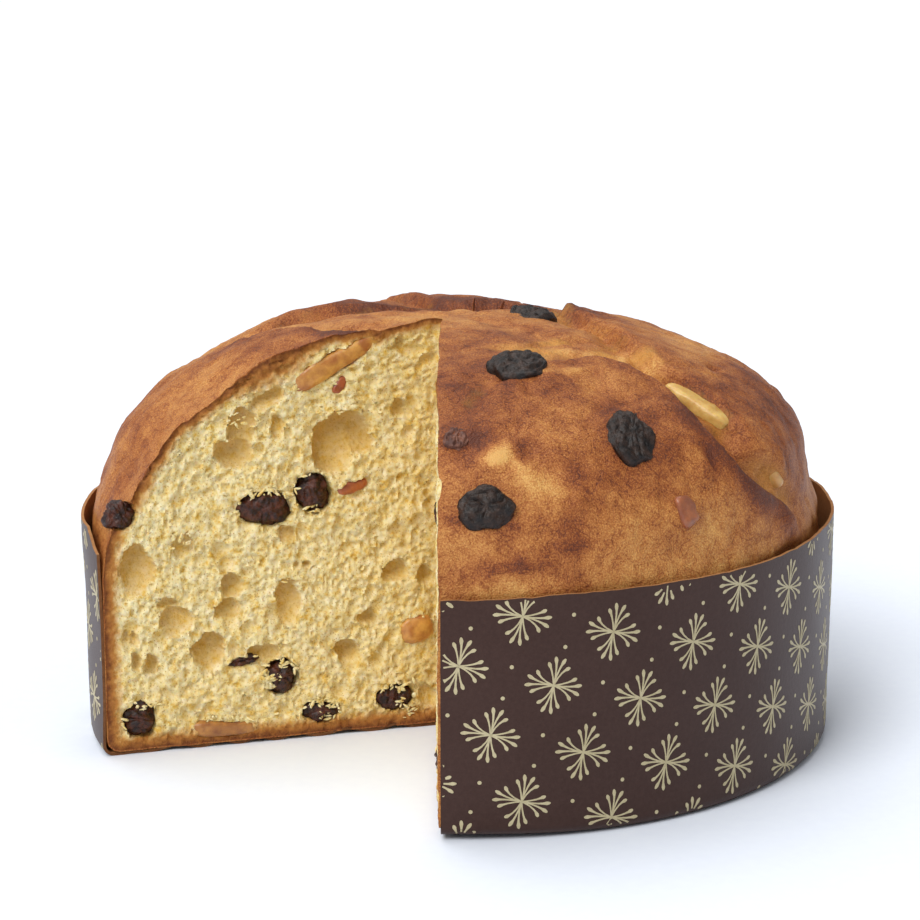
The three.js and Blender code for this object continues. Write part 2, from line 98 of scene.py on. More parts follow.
# Loaf
CLEARANCE = 0.3
LOAF_RADIUS = CASE_RADIUS - PAPER - CLEARANCE
LOAF_BASE = PAPER + CLEARANCE
LOAF_FOOT_ROUND = 3.4
DOME_RADIUS, DOME_BASE, DOME_RISE, DOME_POWER = 103.0, 58.0, 58.0, 2.6
CRUST_COLUMNS = 424
DOME_ROWS = 90
WALL_ROWS = [50, 42, 34, 26, 18, 10]
FOOT_STEPS = 3
BASE_ROWS = [70, 30]

# Missing slice
APEX = np.array([-4.4, -11.2, 0.0])
CUTS = {
    "left": {"azimuth": 196.7, "side": 1, "seed": 11, "proud": 0.35, "step": 0.52, "reach": 106},
    "front": {"azimuth": 270.0, "side": -1, "seed": 29, "proud": 0.75, "step": 0.8, "reach": 96},
}
CUT_FAR = 126.0
CUT_LOW, CUT_HIGH, CUT_ROW = -4.0, 124.0, 0.52

# Lips of the scored crust: arc down from the crown, azimuth. The flap is on the right.
FRONT_LIP = [
    (86, -91), (74, -86), (63, -79), (54, -65), (54, -50), (62, -43), (73, -41),
    (84, -43), (96, -43), (105, -40), (113, -33), (121, -28), (130, -26),
]
BACK_LIP = [
    (118, -24), (110, -29), (101, -35), (88, -34), (76, -33), (65, -33), (54, -28),
    (40, -8), (33, 22), (26, 56), (24, 92), (30, 124), (44, 142), (60, 152), (74, 160),
]
LEFT_LIP = [(76, 168), (60, 175), (46, 186), (34, 204), (26, 222)]
RIGHT_SCORE = [(26, 20), (48, 40), (74, 46), (100, 48)]
REAR_SCORE = [(24, 100), (50, 108), (78, 112), (104, 113)]
FLAPS = [
    {"lip": FRONT_LIP, "lift": 3.0, "back": 15, "drop": 2.2, "ahead": 8, "open": 7, "scorch": 0.55},
    {"lip": BACK_LIP, "lift": 1.6, "back": 15, "drop": 2.8, "ahead": 9, "open": 6, "scorch": 0.6},
    {"lip": LEFT_LIP, "lift": 1.0, "back": 12, "drop": 2.2, "ahead": 10, "open": 5, "scorch": 0.9},
    {"lip": RIGHT_SCORE, "lift": 0.8, "back": 12, "drop": 2.2, "ahead": 7, "open": 5, "scorch": 0.4},
    {"lip": REAR_SCORE, "lift": 1.8, "back": 12, "drop": 1.6, "ahead": 7, "open": 6, "scorch": 0.5},
]
LIP_SAMPLES = 160
LIP_SHARPNESS = 1.8
# Hollows of the dome: azimuth, width in degrees, depth, and the rise over which each comes and goes
DENTS = [
    (203, 17, 7.0, (0, 0.38), (0.76, 0.97)), (-5, 48, 1.8, (-0.2, -0.1), (0.1, 0.5)),
    (165, 26, 2.2, (0, 0.35), (0.85, 0.99)), (36, 30, 2.5, (0, 0.35), (0.96, 1.0)),
    (2, 34, 2.6, (0.08, 0.28), (0.36, 0.55)),
]

# Bakes and bumps of the crust: arc, azimuth, length, width, turn, browning, height
CRUST_MARKS = [
    (92.5, -83.5, 7.5, 6.5, 30, 0.9, 0.6), (92.7, -83.6, 4.4, 3.2, 30, -2.6, 0.7),
    (100, -78.5, 7, 2.6, -25, -0.9, 0.4), (89, -79.5, 7, 2.2, 35, 0.45, 0.3),
    (84.6, -90.5, 5, 4, 0, 0.8, 0.6), (101, -71.5, 3.6, 10, -25, 0.75, 0.2),
    (110.5, -69.3, 6, 5, 0, 0.75, -0.3), (116.5, -73.2, 3.4, 5.5, 30, 0.75, 0.0),
    (120, -77, 8, 2.8, 15, 0.8, 0.0), (122, -83, 7, 1.8, 0, 0.9, 0.5), (124, -86, 3, 2.4, 0, 0.9, 0.6),
    (61, -60, 4, 1.5, 10, -1.1, 0.5), (59, -70, 5, 2.2, -10, -1.0, 0.2), (48, -66, 7, 2.5, 5, -1.0, 0.0),
    (45, -52, 6, 2.5, -5, -1.0, 0.2), (39, -72, 6, 2, 0, -0.7, 0.1), (50, -42, 5, 3, 20, -1.1, 0.3),
    (56, -36, 4, 2, 50, -1.2, 0.5), (64, -33, 4, 2.2, 60, -1.0, 0.4),
    (113, -53.7, 4.2, 5.2, 0, 0.8, 1.0), (103, -47, 0.9, 5, -10, 1.2, -1.0),
    (96, -41, 7, 9, -30, 0.7, 0.4), (104, -38, 6, 7, -30, 0.5, 0.3),
    (86, -12, 20, 16, 0, 0.7, 0.4), (99, 2, 22, 18, 0, 0.7, 0.0), (74, -18, 2.4, 1.8, 10, 1.1, -1.6),
    (103, -27, 9, 9, 0, 0.35, 0.6), (111, -30, 5, 6, 0, -0.6, 1.2), (78.5, -58, 11, 1.4, 12, 0.7, -0.6),
    (81, -70, 12, 9, 0, -0.25, 0.5), (72, -85, 10, 8, 0, 0.3, 0.0), (127, -60, 45, 5, 0, -0.05, 0.0),
    (128, -30, 30, 5, 0, -0.1, 0.0), (54, -31.8, 4, 2, 40, -0.9, 1.2), (46, 5, 20, 8, 20, 0.5, 0.3),
    (95, 185, 60, 40, 0, 0.35, 0.0), (60, 190, 20, 10, 30, 0.5, 0.4), (100, 90, 25, 30, 0, 0.3, 0.5),
    (70, 40, 25, 18, 30, 0.45, 0.4), (90, 150, 25, 20, 0, -0.3, 0.4), (110, 30, 20, 12, 0, -0.4, 0.5),
    (25, 104, 17, 12, 0, 0.2, -1.2), (35, 118, 15, 11, 0, 0.1, -2.0),
]

# How much of a mark's browning shows where it's darker or paler than the skin
MARK_BROWN, MARK_PALE = 0.7, 0.85
# Scorched rise of the crust round each raisin: its reach over the raisin's length, browning and height
SCORCH_REACH, SCORCH_BROWN, SCORCH_LIFT = 0.72, 0.65, 0.5

# Places where the skin tore and golden dough shows: arc, azimuth, length, width, turn
OPEN_PATCHES = [(43, -62, 10, 4.5, 5), (38, -46, 7, 3.5, -5), (51, -37, 6, 4, 40), (59, -31.5, 5, 3.5, 50)]

# Open bubbles of the left cut: distance, height, width, tallness, tilt, smoothness
LEFT_BUBBLES = [
    (28.5, 87.5, 17, 11.5, 8, 1), (31.5, 82.5, 11, 15, 15, 1), (24.5, 84, 9, 9, 0, 0.9),
    (86.8, 52, 9, 14.9, 0, 1), (57.2, 89.5, 7.5, 12, -16, 0.9), (58.8, 83.2, 10.5, 8.5, 15, 0.9),
    (45.2, 39.8, 7.1, 13.8, 5, 0.9), (67.2, 27.3, 9.8, 10, 0, 0.8), (50, 97.5, 11, 4.6, 28, 0.7),
    (75.9, 36.8, 8.3, 7.1, 0, 0.7), (60, 45, 7.8, 7.1, 0, 0.3), (27.4, 25.3, 7.2, 7.3, 0, 0.2),
    (13.6, 46.2, 8.7, 5.8, 10, 0.2), (74, 57.5, 4.4, 7.3, 0, 0.2), (77.4, 41.8, 6.1, 4.5, 0, 0.5),
    (61.6, 38.7, 7, 6, 0, 0.4), (83.7, 24.5, 3.3, 7.1, 0, 0.6), (87.8, 26, 3.3, 5.1, 0, 0.6),
    (89.8, 33, 2.7, 4, 0, 0.6), (87.1, 32.5, 2.8, 4, 0, 0.6), (52.5, 26, 9.9, 5.8, 10, 0.5),
    (21.8, 33.9, 4.3, 4.4, 0, 0.3), (4.9, 45, 4.4, 5.8, 0, 0.2), (45.2, 59.5, 4.2, 4.3, 0, 0.5),
    (41.7, 50.7, 2.3, 2.6, 0, 0.5), (38.6, 50.5, 2.3, 2.6, 0, 0.5), (11.9, 93.8, 4.3, 5.6, 0, 0.3),
    (11.3, 110.3, 2.8, 5.6, 0, 0.2), (47.9, 89, 3.3, 7, 10, 0.5),
]
FRONT_BUBBLES = {
    "count": 7, "distance": (10, 90), "height": (12, 94), "width": (5, 12), "tallness": (5, 13), "tilt": 20,
    "smoothness": 0.6,
}
GOLDEN_TURN = 0.618034
# Pores of the crumb: how many for each square centimetre, radii, depth over radius
PORES = [
    {"density": 45, "radius": (0.4, 0.75), "deep": 1.0},
    {"density": 7, "radius": (0.7, 1.5), "deep": 0.9},
    {"density": 0.7, "radius": (1.5, 2.8), "deep": 0.65},
]
# Browning under the skin: its thickness at the side, and what comes on top of that elsewhere
BAND = {"side": 3.9, "top": -1.3, "base": 0.6, "scored": 5.0}
SCORED_EDGE = {"distance": 47, "height": 103}
# Waves in the relief of torn crumb, from coarse to fine: spacing, height, seed after the cut's own
CRAGS = ((9.0, 0.6, 0), (4.5, 0.42, 3), (2.3, 0.16, 5), (0.95, 0.2, 6))
# Waves that bend the outlines of all pits, and of the bubbles alone: spacing, reach, seed
OUTLINE_WAVES = ((2.4, 0.5, 7), (1.1, 0.32, 9))
BUBBLE_WAVES = (6.5, 1.3, 12)
# Pits: the depth that is shaded in full, how square an outline is, how much deeper its top is, and how
# far a pore's tilt strays from the grain, in degrees
PIT_FULL = 2.6
BUBBLE_POWER, BUBBLE_LEAN = 3.0, 0.45
PORE_POWER, PORE_LEAN, PORE_TURN = 2.6, 0.3, 50

# A flake's depth under the skin, over the browning's: far inside
SHRED_DEPTH = 9.0
# Clumps of torn crumb on the left cut: distance, height, spreads, number of flakes, size
SHRED_CLUMPS = [
    (50.3, 18.6, 1.3, 1.2, 26, 1.2), (45.0, 21.5, 1.6, 0.9, 10, 0.7), (35.5, 9.8, 3.0, 0.8, 16, 0.7),
    (33.5, 6.0, 1.6, 1.0, 10, 0.6), (13.0, 12.5, 2.4, 0.9, 14, 0.7), (11.0, 6.0, 1.8, 1.4, 16, 0.6),
    (50, 72.0, 4.5, 0.9, 20, 0.7), (38, 66.5, 2.4, 1.2, 14, 0.6), (74, 60.5, 1.8, 1.0, 10, 0.6),
    (86, 13.8, 2.4, 0.8, 10, 0.6), (8, 32.5, 3.0, 0.8, 14, 0.6), (62, 8.2, 6.0, 0.7, 18, 0.6),
    (28, 93.2, 6.0, 0.8, 16, 0.6), (57, 91.5, 2.0, 1.2, 10, 0.6), (45, 47, 2.2, 0.8, 12, 0.5),
]

# Fruit on the dome: arc, azimuth, length, width, thickness, turn, and the finish if it isn't "baked"
DOME_FRUIT = {
    "raisin": [
        (23, 24, 15, 11, 7, 10), (53, -74, 17, 11, 7, 24), (90, -59, 14, 16, 8, -20),
        (107, -86, 15, 12, 7, 4), (87, -87.5, 6.5, 6, 5, 0, "covered"), (62, 66, 15, 11, 7, 35),
        (92, 128, 14, 12, 7, -15), (102, 64, 13, 11, 7, 70),
    ],
    "peel": [
        (79, -35.5, 20, 5.5, 5, 98, "citron"), (112, -54, 6.5, 10, 5, 8, "orange"),
        (110, -29, 7, 8, 6, 20, "citron"),
    ],
}
# How far each fruit of the dome is moved in its frame to sit right in the finished crust, and widened
NUDGES = {
    "raisin_dome_1": (-4.5, 2.2, -0.2, 1.25), "raisin_dome_2": (0.2, -3.8, 2.0, 1.35),
    "raisin_dome_3": (-0.5, 0.3, 0.3, 1.1), "raisin_dome_5": (-4.2, -0.2, 0, 1.3),
    "raisin_dome_6": (0, 0, -3.0, 1), "peel_dome_1": (1.4, -1.6, 2.0, 1.15), "peel_dome_2": (0, 0, -0.3, 1),
    "peel_dome_3": (1.8, 0.8, -1.6, 1),
}

# Fruit on the cuts: distance, height, length, thickness, tilt, and a peel's finish
CUT_FRUIT = {
    "raisin": {
        "left": [
            (50.8, 67, 16, 10.5, -8), (36.9, 70.2, 11, 12, 10), (47, 18.4, 11, 10.4, 10),
            (35.5, 7.2, 12, 6.5, 0), (14.1, 9.3, 11.5, 8.6, 0), (86.6, 9.6, 10, 11, 0),
            (91, 67.6, 9.5, 9, 30), (57.5, 23.7, 10.5, 3.8, 12),
        ],
        "front": [(30, 31, 13, 10, 15), (63, 78, 15, 10, -20), (80, 18, 11, 9, 0)],
    },
    "peel": {
        "left": [
            (30.1, 106.7, 28, 7.0, 27, "orange"), (29.2, 100.1, 5.5, 3.4, 60, "orange"),
            (26.2, 71.2, 9, 3.6, 15, "orange"), (7.8, 28.9, 10, 8.5, 15, "orange"),
            (63, 4.9, 19, 5, -4, "citron"),
        ],
        "front": [
            (44, 99, 16, 5, 24, "orange"), (71, 50, 9, 5, 70, "citron"), (22, 62, 10, 6, -30, "orange"),
        ],
    },
}
# For each kind: share of its thickness sunk in the crust, the first shape's seed in the cuts, and for its
# hollow in a cut the share of its outline and the depth over its thickness
SUNK = {"raisin": 0.22, "peel": 0.25}
FIRST_SEED = {"raisin": 4, "peel": 2}
HOLLOW_SHARE = {"raisin": 0.47, "peel": 0.39}
HOLLOW_DEPTH = {"raisin": 0.4, "peel": 0.5}
# How much deeper than the solids the fruit of the cuts sits in the torn crumb
FRUIT_SUNK = 0.24
CUT_RAISIN_DEPTH = 0.8
# Columns and rows of the fruit's meshes
RAISIN_MESH, PEEL_MESH = (72, 44), (48, 32)

# Camera, in metres, degrees down and millimetres of lens and sensor
CAMERA_PLACE = (0.00045, -0.7703, 0.2523)
CAMERA_PITCH = 12.99
CAMERA_LENS, CAMERA_SENSOR = 109.57, 36
# Light: the room's strength, and each lamp's name, place, spread in degrees and strength
ROOM_LIGHT = 0.42
LAMPS = [("key lamp", (-0.62, -0.85, 1.05), 34, 2.16), ("top lamp", (-0.2, 0.35, 1.0), 45, 1.2)]
TABLE_GRAIN = 10 / 3

# What the dough's material reads: depth under the skin over the browning's, pits, which set painted shade,
# smooth bubble floors, which carry painted shade towards each bubble's top and one side, open scores,
# browning and warmth
DOUGH_ATTRIBUTES = ("depth", "pit", "floor", "score", "bake", "warm")

# Colours of the panel: what each gives the eye, and its sRGB value
COLOURS = {
    "crumb_pale": ("Palest walls of the crumb", "#F6EBC8"),
    "crumb_cream": ("Cream walls of the crumb", "#F3E3B0"),
    "crumb_yellow": ("Yellow of the crumb between its cells", "#EDD693"),
    "crumb_ochre": ("Egg-yellow flecks of the crumb", "#DBB04C"),
    # The next three colours are painted shade in the crumb: in its cells and deeper pits, as shadow in its
    # smallest pores, and, over the floors' own colour, in the large bubbles towards their top and one side
    "crumb_hollow": ("Golden shade of the pores", "#D8AC4C"),
    "crumb_speck": ("Darkest specks of the pores", "#B0843A"),
    "bubble_floor": ("Shiny floor of the large bubbles", "#BE8E3F"),
    "band_dark": ("Toasted line right under the skin", "#74411F"),
    "band_brown": ("Browned crumb under the skin", "#A0662F"),
    "band_light": ("Where the browning fades into the crumb", "#C48B45"),
    "skin_pale": ("Palest patches of the skin", "#DCA962"),
    "skin_light": ("Golden skin", "#C88B4B"),
    "skin_brown": ("Middle brown of the skin", "#AE6C36"),
    "skin_dark": ("Chestnut stains of the skin", "#884822"),
    "skin_scorched": ("Scorched ridges", "#5F3120"),
    "torn_dough": ("Golden dough where the skin tore", "#D69C48"),
    "raisin_burnt": ("Folds of the raisins on the crust", "#120A07"),
    "raisin_burnt_ridge": ("Ridges of the raisins on the crust", "#3B271C"),
    "raisin_moist": ("Folds of the raisins in the crumb", "#220F0A"),
    "raisin_moist_ridge": ("Ridges of the raisins in the crumb", "#5A2B18"),
    "raisin_covered": ("Folds of a raisin under the skin", "#54342B"),
    "raisin_covered_ridge": ("Ridges of a raisin under the skin", "#8A5A45"),
    "orange_pale": ("Pale side of candied orange", "#D39A48"),
    "orange_deep": ("Deep side of candied orange", "#A5622A"),
    "citron_pale": ("Pale side of candied citron", "#DDB96C"),
    "citron_deep": ("Deep side of candied citron", "#C29549"),
    "bump_pale": ("Pale side of fruit under the skin", "#A2603A"),
    "bump_deep": ("Deep side of fruit under the skin", "#84492C"),
    "baked_citron_pale": ("Pale side of citron baked in the crust", "#CFA262"),
    "baked_citron_deep": ("Deep side of citron baked in the crust", "#B07E46"),
    "dark_peel_pale": ("Pale side of the dark peel", "#A8552A"),
    "dark_peel_deep": ("Deep side of the dark peel", "#7E3A1E"),
    "red_peel_pale": ("Pale side of the red peel", "#B8652C"),
    "red_peel_deep": ("Deep side of the red peel", "#8E4520"),
    "syrup_peel_pale": ("Pale side of the soaked citron", "#B9803F"),
    "syrup_peel_deep": ("Deep side of the soaked citron", "#8A5226"),
    "paper_brown": ("Dark brown of the printed paper", "#39231C"),
    "paper_fleck": ("Lighter fibres of the printed paper", "#422C25"),
    "kraft_brown": ("Bare inside of the case", "#97653B"),
    "kraft_fleck": ("Lighter fibres of the bare paper", "#B28252"),
    "edge_brown": ("Toasted edge of the paper", "#5E3A20"),
    "edge_fleck": ("Lighter fibres of the toasted edge", "#7C5230"),
    "ink_gold": ("Pale gold of the print", "#B0A37E"),
    "ink_fleck": ("Lightest gold of the print", "#C6BA96"),
    "table_white": ("White of the table", "#EBF1FC"),
    "table_fleck": ("Lightest white of the table", "#EDF3FD"),
    "room_white": ("Light of the room", "#FFFFFF"),
}


def linear(colour):
    """Linear red, green, blue and alpha of an sRGB hex colour."""
    values = [int(colour[place:place + 2], 16) / 255 for place in (1, 3, 5)]
    return [v / 12.92 if v <= 0.04045 else ((v + 0.055) / 1.055) ** 2.4 for v in values] + [1.0]


def hue(name):
    """A colour of the panel, as the scene holds it."""
    return list(getattr(bpy.context.scene.panettone_colours, name))


def smoothstep(low, high, value):
    share = np.clip((value - low) / (high - low), 0, 1)
    return share * share * (3 - 2 * share)


def bell(value):
    return np.exp(-np.square(value))


def lattice(x, y, seed):
    """Repeatable number from 0 to 1 for each point of a whole-number lattice."""
    mixed = np.sin(x * 127.1 + y * 311.7 + seed * 74.7) * 43758.5453
    return mixed - np.floor(mixed)


def field(x, y, seed):
    """Smooth field from -1 to 1 in the plane, with the lattice's spacing."""
    x0, y0 = np.floor(x), np.floor(y)
    u, v = smoothstep(0, 1, x - x0), smoothstep(0, 1, y - y0)
    low = lattice(x0, y0, seed) * (1 - u) + lattice(x0 + 1, y0, seed) * u
    high = lattice(x0, y0 + 1, seed) * (1 - u) + lattice(x0 + 1, y0 + 1, seed) * u
    return 2 * (low * (1 - v) + high * v) - 1


def noise(points, spacing, seed):
    """Smooth field from -1 to 1 in space, with bumps of the given spacing."""
    cells = points / spacing
    base = np.floor(cells)
    part = smoothstep(0, 1, cells - base)
    total = np.zeros(len(points))
    for corner in product((0, 1), repeat=3):
        weight = np.prod(np.where(corner, part, 1 - part), axis=1)
        x, y, z = (base + corner).T
        total += weight * lattice(x + 57.3 * z, y - 31.7 * z, seed)
    return 2 * total - 1


def crease(points, spacing, width, seed):
    """One along the lines where a smooth field changes sign, falling to zero beside them."""
    return np.clip(1 - np.abs(noise(points, spacing, seed)) / width, 0, 1)


# Dome, measured by the arc down from its crown
ANGLES = np.linspace(math.pi / 2, 0, 401)
ARC_RADII = DOME_RADIUS * np.cos(ANGLES).clip(0) ** (2 / DOME_POWER)
ARC_HEIGHTS = DOME_BASE + DOME_RISE * np.sin(ANGLES) ** (2 / DOME_POWER)
ARCS = np.concatenate([[0], np.cumsum(np.hypot(np.diff(ARC_RADII), np.diff(ARC_HEIGHTS)))])


def dome_points(arc, azimuth):
    """Points of the plain dome at arcs from the crown and azimuths in degrees."""
    arc, azimuth = np.broadcast_arrays(np.asarray(arc, float), np.asarray(azimuth, float))
    radius = np.interp(arc, ARCS, ARC_RADII)
    height = np.interp(arc, ARCS, ARC_HEIGHTS)
    turn = azimuth * DEG
    return np.stack([radius * np.cos(turn), radius * np.sin(turn), height], axis=-1)


def dome_normals(points):
    radius = np.hypot(points[:, 0], points[:, 1])
    outward = (radius / DOME_RADIUS) ** (DOME_POWER - 1) / DOME_RADIUS
    rise = np.maximum(points[:, 2] - DOME_BASE, 0) / DOME_RISE
    upward = rise ** (DOME_POWER - 1) / DOME_RISE
    share = outward / np.maximum(radius, 1e-9)
    normals = np.stack([points[:, 0] * share, points[:, 1] * share, upward], axis=1)
    return normals / np.linalg.norm(normals, axis=1, keepdims=True)


def dome_level(radius, height):
    """One on the plain dome, and less inside it."""
    climb = np.maximum(height - DOME_BASE, 0) / DOME_RISE
    return (radius / DOME_RADIUS) ** DOME_POWER + climb ** DOME_POWER


def crust_axes(point):
    """Axes at one point of the plain dome: along the azimuth, up towards the crown, and outwards."""
    normal = dome_normals(point)[0]
    right = np.cross(UP, normal)
    right /= np.linalg.norm(right)
    return right, np.cross(normal, right), normal


def curve_through(stations, samples):
    """Centripetal curve through stations."""
    knots = np.vstack([2 * stations[0] - stations[1], stations, 2 * stations[-1] - stations[-2]])
    points = []
    for place in np.linspace(0, len(stations) - 1, samples + 1):
        first = min(int(place), len(stations) - 2)
        t = place - first
        p0, p1, p2, p3 = knots[first:first + 4]
        d0, d1, d2 = [math.sqrt(np.linalg.norm(b - a)) for a, b in ((p0, p1), (p1, p2), (p2, p3))]
        leave = ((p1 - p0) / d0 - (p2 - p0) / (d0 + d1) + (p2 - p1) / d1) * d1
        arrive = ((p2 - p1) / d1 - (p3 - p1) / (d1 + d2) + (p3 - p2) / d2) * d1
        blend = 3 * t * t - 2 * t ** 3
        slopes = (t ** 3 - 2 * t * t + t) * leave + (t ** 3 - t * t) * arrive
        points.append((1 - blend) * p1 + blend * p2 + slopes)
    return np.array(points)


def lip_distance(points, normals, lip):
    """Signed distance from a lip, positive on the flap, and how far along the lip it is."""
    squared = (points ** 2).sum(1)[:, None] + (lip ** 2).sum(1)[None] - 2 * points @ lip.T
    nearest = squared.argmin(1)
    before = lip[np.maximum(nearest - 1, 0)]
    after = lip[np.minimum(nearest + 1, len(lip) - 1)]
    away = points - lip[nearest]
    turning = (np.cross(after - before, away) * normals).sum(1)
    distance = np.where(turning < 0, 1, -1) * np.linalg.norm(away, axis=1)
    return distance, nearest / (len(lip) - 1)


def add_flaps(plain, normals, lift, bake, score):
    """Raises the flaps of the scored crust, lowers what they left open and scorches their lips."""
    wander = 1.3 * noise(plain, 9, 5) + 0.35 * noise(plain, 4, 6)
    burnt = 0.5 + 0.5 * noise(plain, 15, 7)
    patchy = 0.65 + 0.6 * noise(plain, 7, 9)
    for flap in FLAPS:
        lip = curve_through(dome_points(*np.array(flap["lip"], float).T), LIP_SAMPLES)
        distance, along = lip_distance(plain, normals, lip)
        distance = distance + wander
        ends = smoothstep(0, 0.1, along) * smoothstep(0, 0.1, 1 - along)
        if flap["lip"] is FRONT_LIP:
            ends = ends * (0.4 + 0.6 * smoothstep(0.15, 0.45, along))
        raised = flap["lift"] * bell(distance / flap["back"])
        lowered = -flap["drop"] * bell(distance / flap["ahead"])
        share = 0.5 + 0.5 * np.tanh(distance / LIP_SHARPNESS)
        lift += ends * (lowered * (1 - share) + raised * share)
        lift += ends * (0.5 * bell((distance - 1.6) / 1.6) - 0.8 * bell((distance + 1.5) / 1.5))
        middle = smoothstep(0.5, 0.65, along) * (1 - smoothstep(0.8, 0.95, along))
        bake += ends * flap["scorch"] * (burnt + middle) * bell((distance - 3) / 5)
        opened = ends * (1 - share) * bell(distance / flap["open"]) * patchy
        np.maximum(score, opened, out=score)


def add_marks(plain, lift, bake, score):
    """Stains, bumps and torn patches of the crust, and its scorched rise round each raisin."""
    for arc, turn, length, width, tilt, browning, bump in CRUST_MARKS:
        share = mark_share(plain, arc, turn, length, width, tilt)
        bake += (MARK_BROWN if browning > 0 else MARK_PALE) * browning * share
        lift += bump * share
    for arc, turn, length, width, tilt in OPEN_PATCHES:
        np.maximum(score, 0.95 * mark_share(plain, arc, turn, length, width, tilt), out=score)
    for arc, turn, length, width, _, tilt, *_ in DOME_FRUIT["raisin"]:
        share = mark_share(plain, arc, turn, length * SCORCH_REACH, width * SCORCH_REACH, tilt)
        bake += SCORCH_BROWN * share
        lift += SCORCH_LIFT * share


def crust_form(plain):
    """Points of the finished crust over points of the plain dome, with its bake and open dough."""
    normals = dome_normals(plain)
    azimuth = np.arctan2(plain[:, 1], plain[:, 0])
    height = plain[:, 2]
    from_crown = np.hypot(plain[:, 0], plain[:, 1])
    lift = np.sin(7 * azimuth + 0.09 * height) * np.sin(0.11 * height + 2) * 0.5
    lift += np.sin(2 * azimuth - 0.6) * 0.3 + np.sin(3 * azimuth + 1) * 0.5
    lift *= smoothstep(DOME_BASE, DOME_BASE + 20, height) * smoothstep(0, 16, from_crown)
    bake = 0.3 * noise(plain, 38, 3) + 0.3 * noise(plain, 13, 4)
    score = np.zeros(len(plain))
    add_flaps(plain, normals, lift, bake, score)
    add_marks(plain, lift, bake, score)
    rise = (height - DOME_BASE) / DOME_RISE
    for middle, width, depth, fade_in, fade_out in DENTS:
        turn = (azimuth / DEG - middle + 540) % 360 - 180
        band = smoothstep(*fade_in, rise) * (1 - smoothstep(*fade_out, rise))
        lift -= depth * bell(turn / width) * band
    return plain + normals * lift[:, None], normals, bake, score


def mark_share(plain, arc, azimuth, length, width, tilt):
    """Bell over an oval mark of the dome, with an uneven outline."""
    centre = dome_points([arc], [azimuth])
    right, upward, _ = crust_axes(centre)
    away = plain - centre
    across, climb = away @ right, away @ upward
    near = (away ** 2).sum(1) < (3 * max(length, width)) ** 2
    share = np.zeros(len(plain))
    u = across * math.cos(tilt * DEG) + climb * math.sin(tilt * DEG)
    v = climb * math.cos(tilt * DEG) - across * math.sin(tilt * DEG)
    uneven = 1 + 0.35 * noise(plain[near], max(3.0, 0.6 * min(length, width)), 8)
    share[near] = bell(u[near] / length * uneven) * bell(v[near] / width * uneven)
    return share


def fine_relief(points, score):
    """Dimples and wrinkles of the baked skin, and the open pores of torn dough."""
    skin = 0.6 * noise(points, 14, 21) + 0.38 * noise(points, 6, 22) + 0.2 * noise(points, 2.6, 23)
    skin -= 0.45 * crease(points, 13, 0.1, 24)
    torn = 1.0 * noise(points, 3.8, 25) + 0.5 * noise(points, 1.9, 27) - 0.9 * crease(points, 6, 0.3, 26)
    return skin + torn * score


# Cuts


def cut_axes(side):
    """Direction along a cut and its normal out of the loaf."""
    cut = CUTS[side]
    turn = cut["azimuth"] * DEG
    along = np.array([math.cos(turn), math.sin(turn), 0.0])
    return along, np.cross(UP, along) * cut["side"]


def cut_frame(side, distance, height, out):
    """Frame on a cut: X to the right, Y up and Z out of the loaf, seen from outside."""
    along, normal = cut_axes(side)
    place = APEX + along * distance + normal * out + UP * height
    return frame_matrix(np.cross(UP, normal), UP, normal, place)


def frame_matrix(x_axis, y_axis, z_axis, place):
    matrix = np.eye(4)
    matrix[:3, 0], matrix[:3, 1], matrix[:3, 2], matrix[:3, 3] = x_axis, y_axis, z_axis, place
    return matrix


def front_bubbles():
    """Bubbles of the front cut, spread evenly by a rule and uneven in size."""
    rule, count = FRONT_BUBBLES, FRONT_BUBBLES["count"]
    bubbles = []
    for index in range(count):
        chances = [(index * GOLDEN_TURN + 0.2) % 1, (index + 0.5) / count]
        chances += [float(lattice(index, draw, 5)) for draw in (1, 2)]
        spans = [rule[name] for name in ("distance", "height", "width", "tallness")]
        places = [low + (high - low) * chance for (low, high), chance in zip(spans, chances)]
        tilt = rule["tilt"] * (2 * float(lattice(index, 3, 5)) - 1)
        bubbles.append((*places, tilt, rule["smoothness"]))
    return bubbles


def press(hollow, across, height, pit, power=2.0, lean=0.0):
    """Presses an oval pit into a grid of depths, deeper at its top where it leans."""
    centre_x, centre_z, half_x, half_z, tilt, deep = pit
    reach = max(half_x, half_z) * 1.15 + 1.2
    columns = np.flatnonzero(np.abs(across[0] - centre_x) < reach)
    rows = np.flatnonzero(np.abs(height[:, 0] - centre_z) < reach)
    if not len(columns) or not len(rows):
        return None
    window = np.s_[rows[0]:rows[-1] + 1, columns[0]:columns[-1] + 1]
    away, climb = across[window] - centre_x, height[window] - centre_z
    cosine, sine = math.cos(tilt * DEG), math.sin(tilt * DEG)
    u = (away * cosine + climb * sine) / half_x
    v = (climb * cosine - away * sine) / half_z
    inside = np.maximum(1 - (u * u + v * v) ** (power / 2), 0)
    upward = np.clip(climb / half_z, -1, 1)
    depth = deep * inside ** (1 / power) * (1 + lean * upward)
    np.maximum(hollow[window], depth, out=hollow[window])
    # The last value rises towards the pit's top and one side, for painted shade in the bubbles
    return window, inside, upward - 0.6 * np.clip(away / half_x, -1, 1)


def wavy(places, grid, spacing, strength, seed):
    """Places across and up a face, each bent by waves of a spacing and a strength."""
    distance, height = grid
    return [place + strength * field(distance / spacing, height / spacing, seed + index)
            for index, place in enumerate(places)]


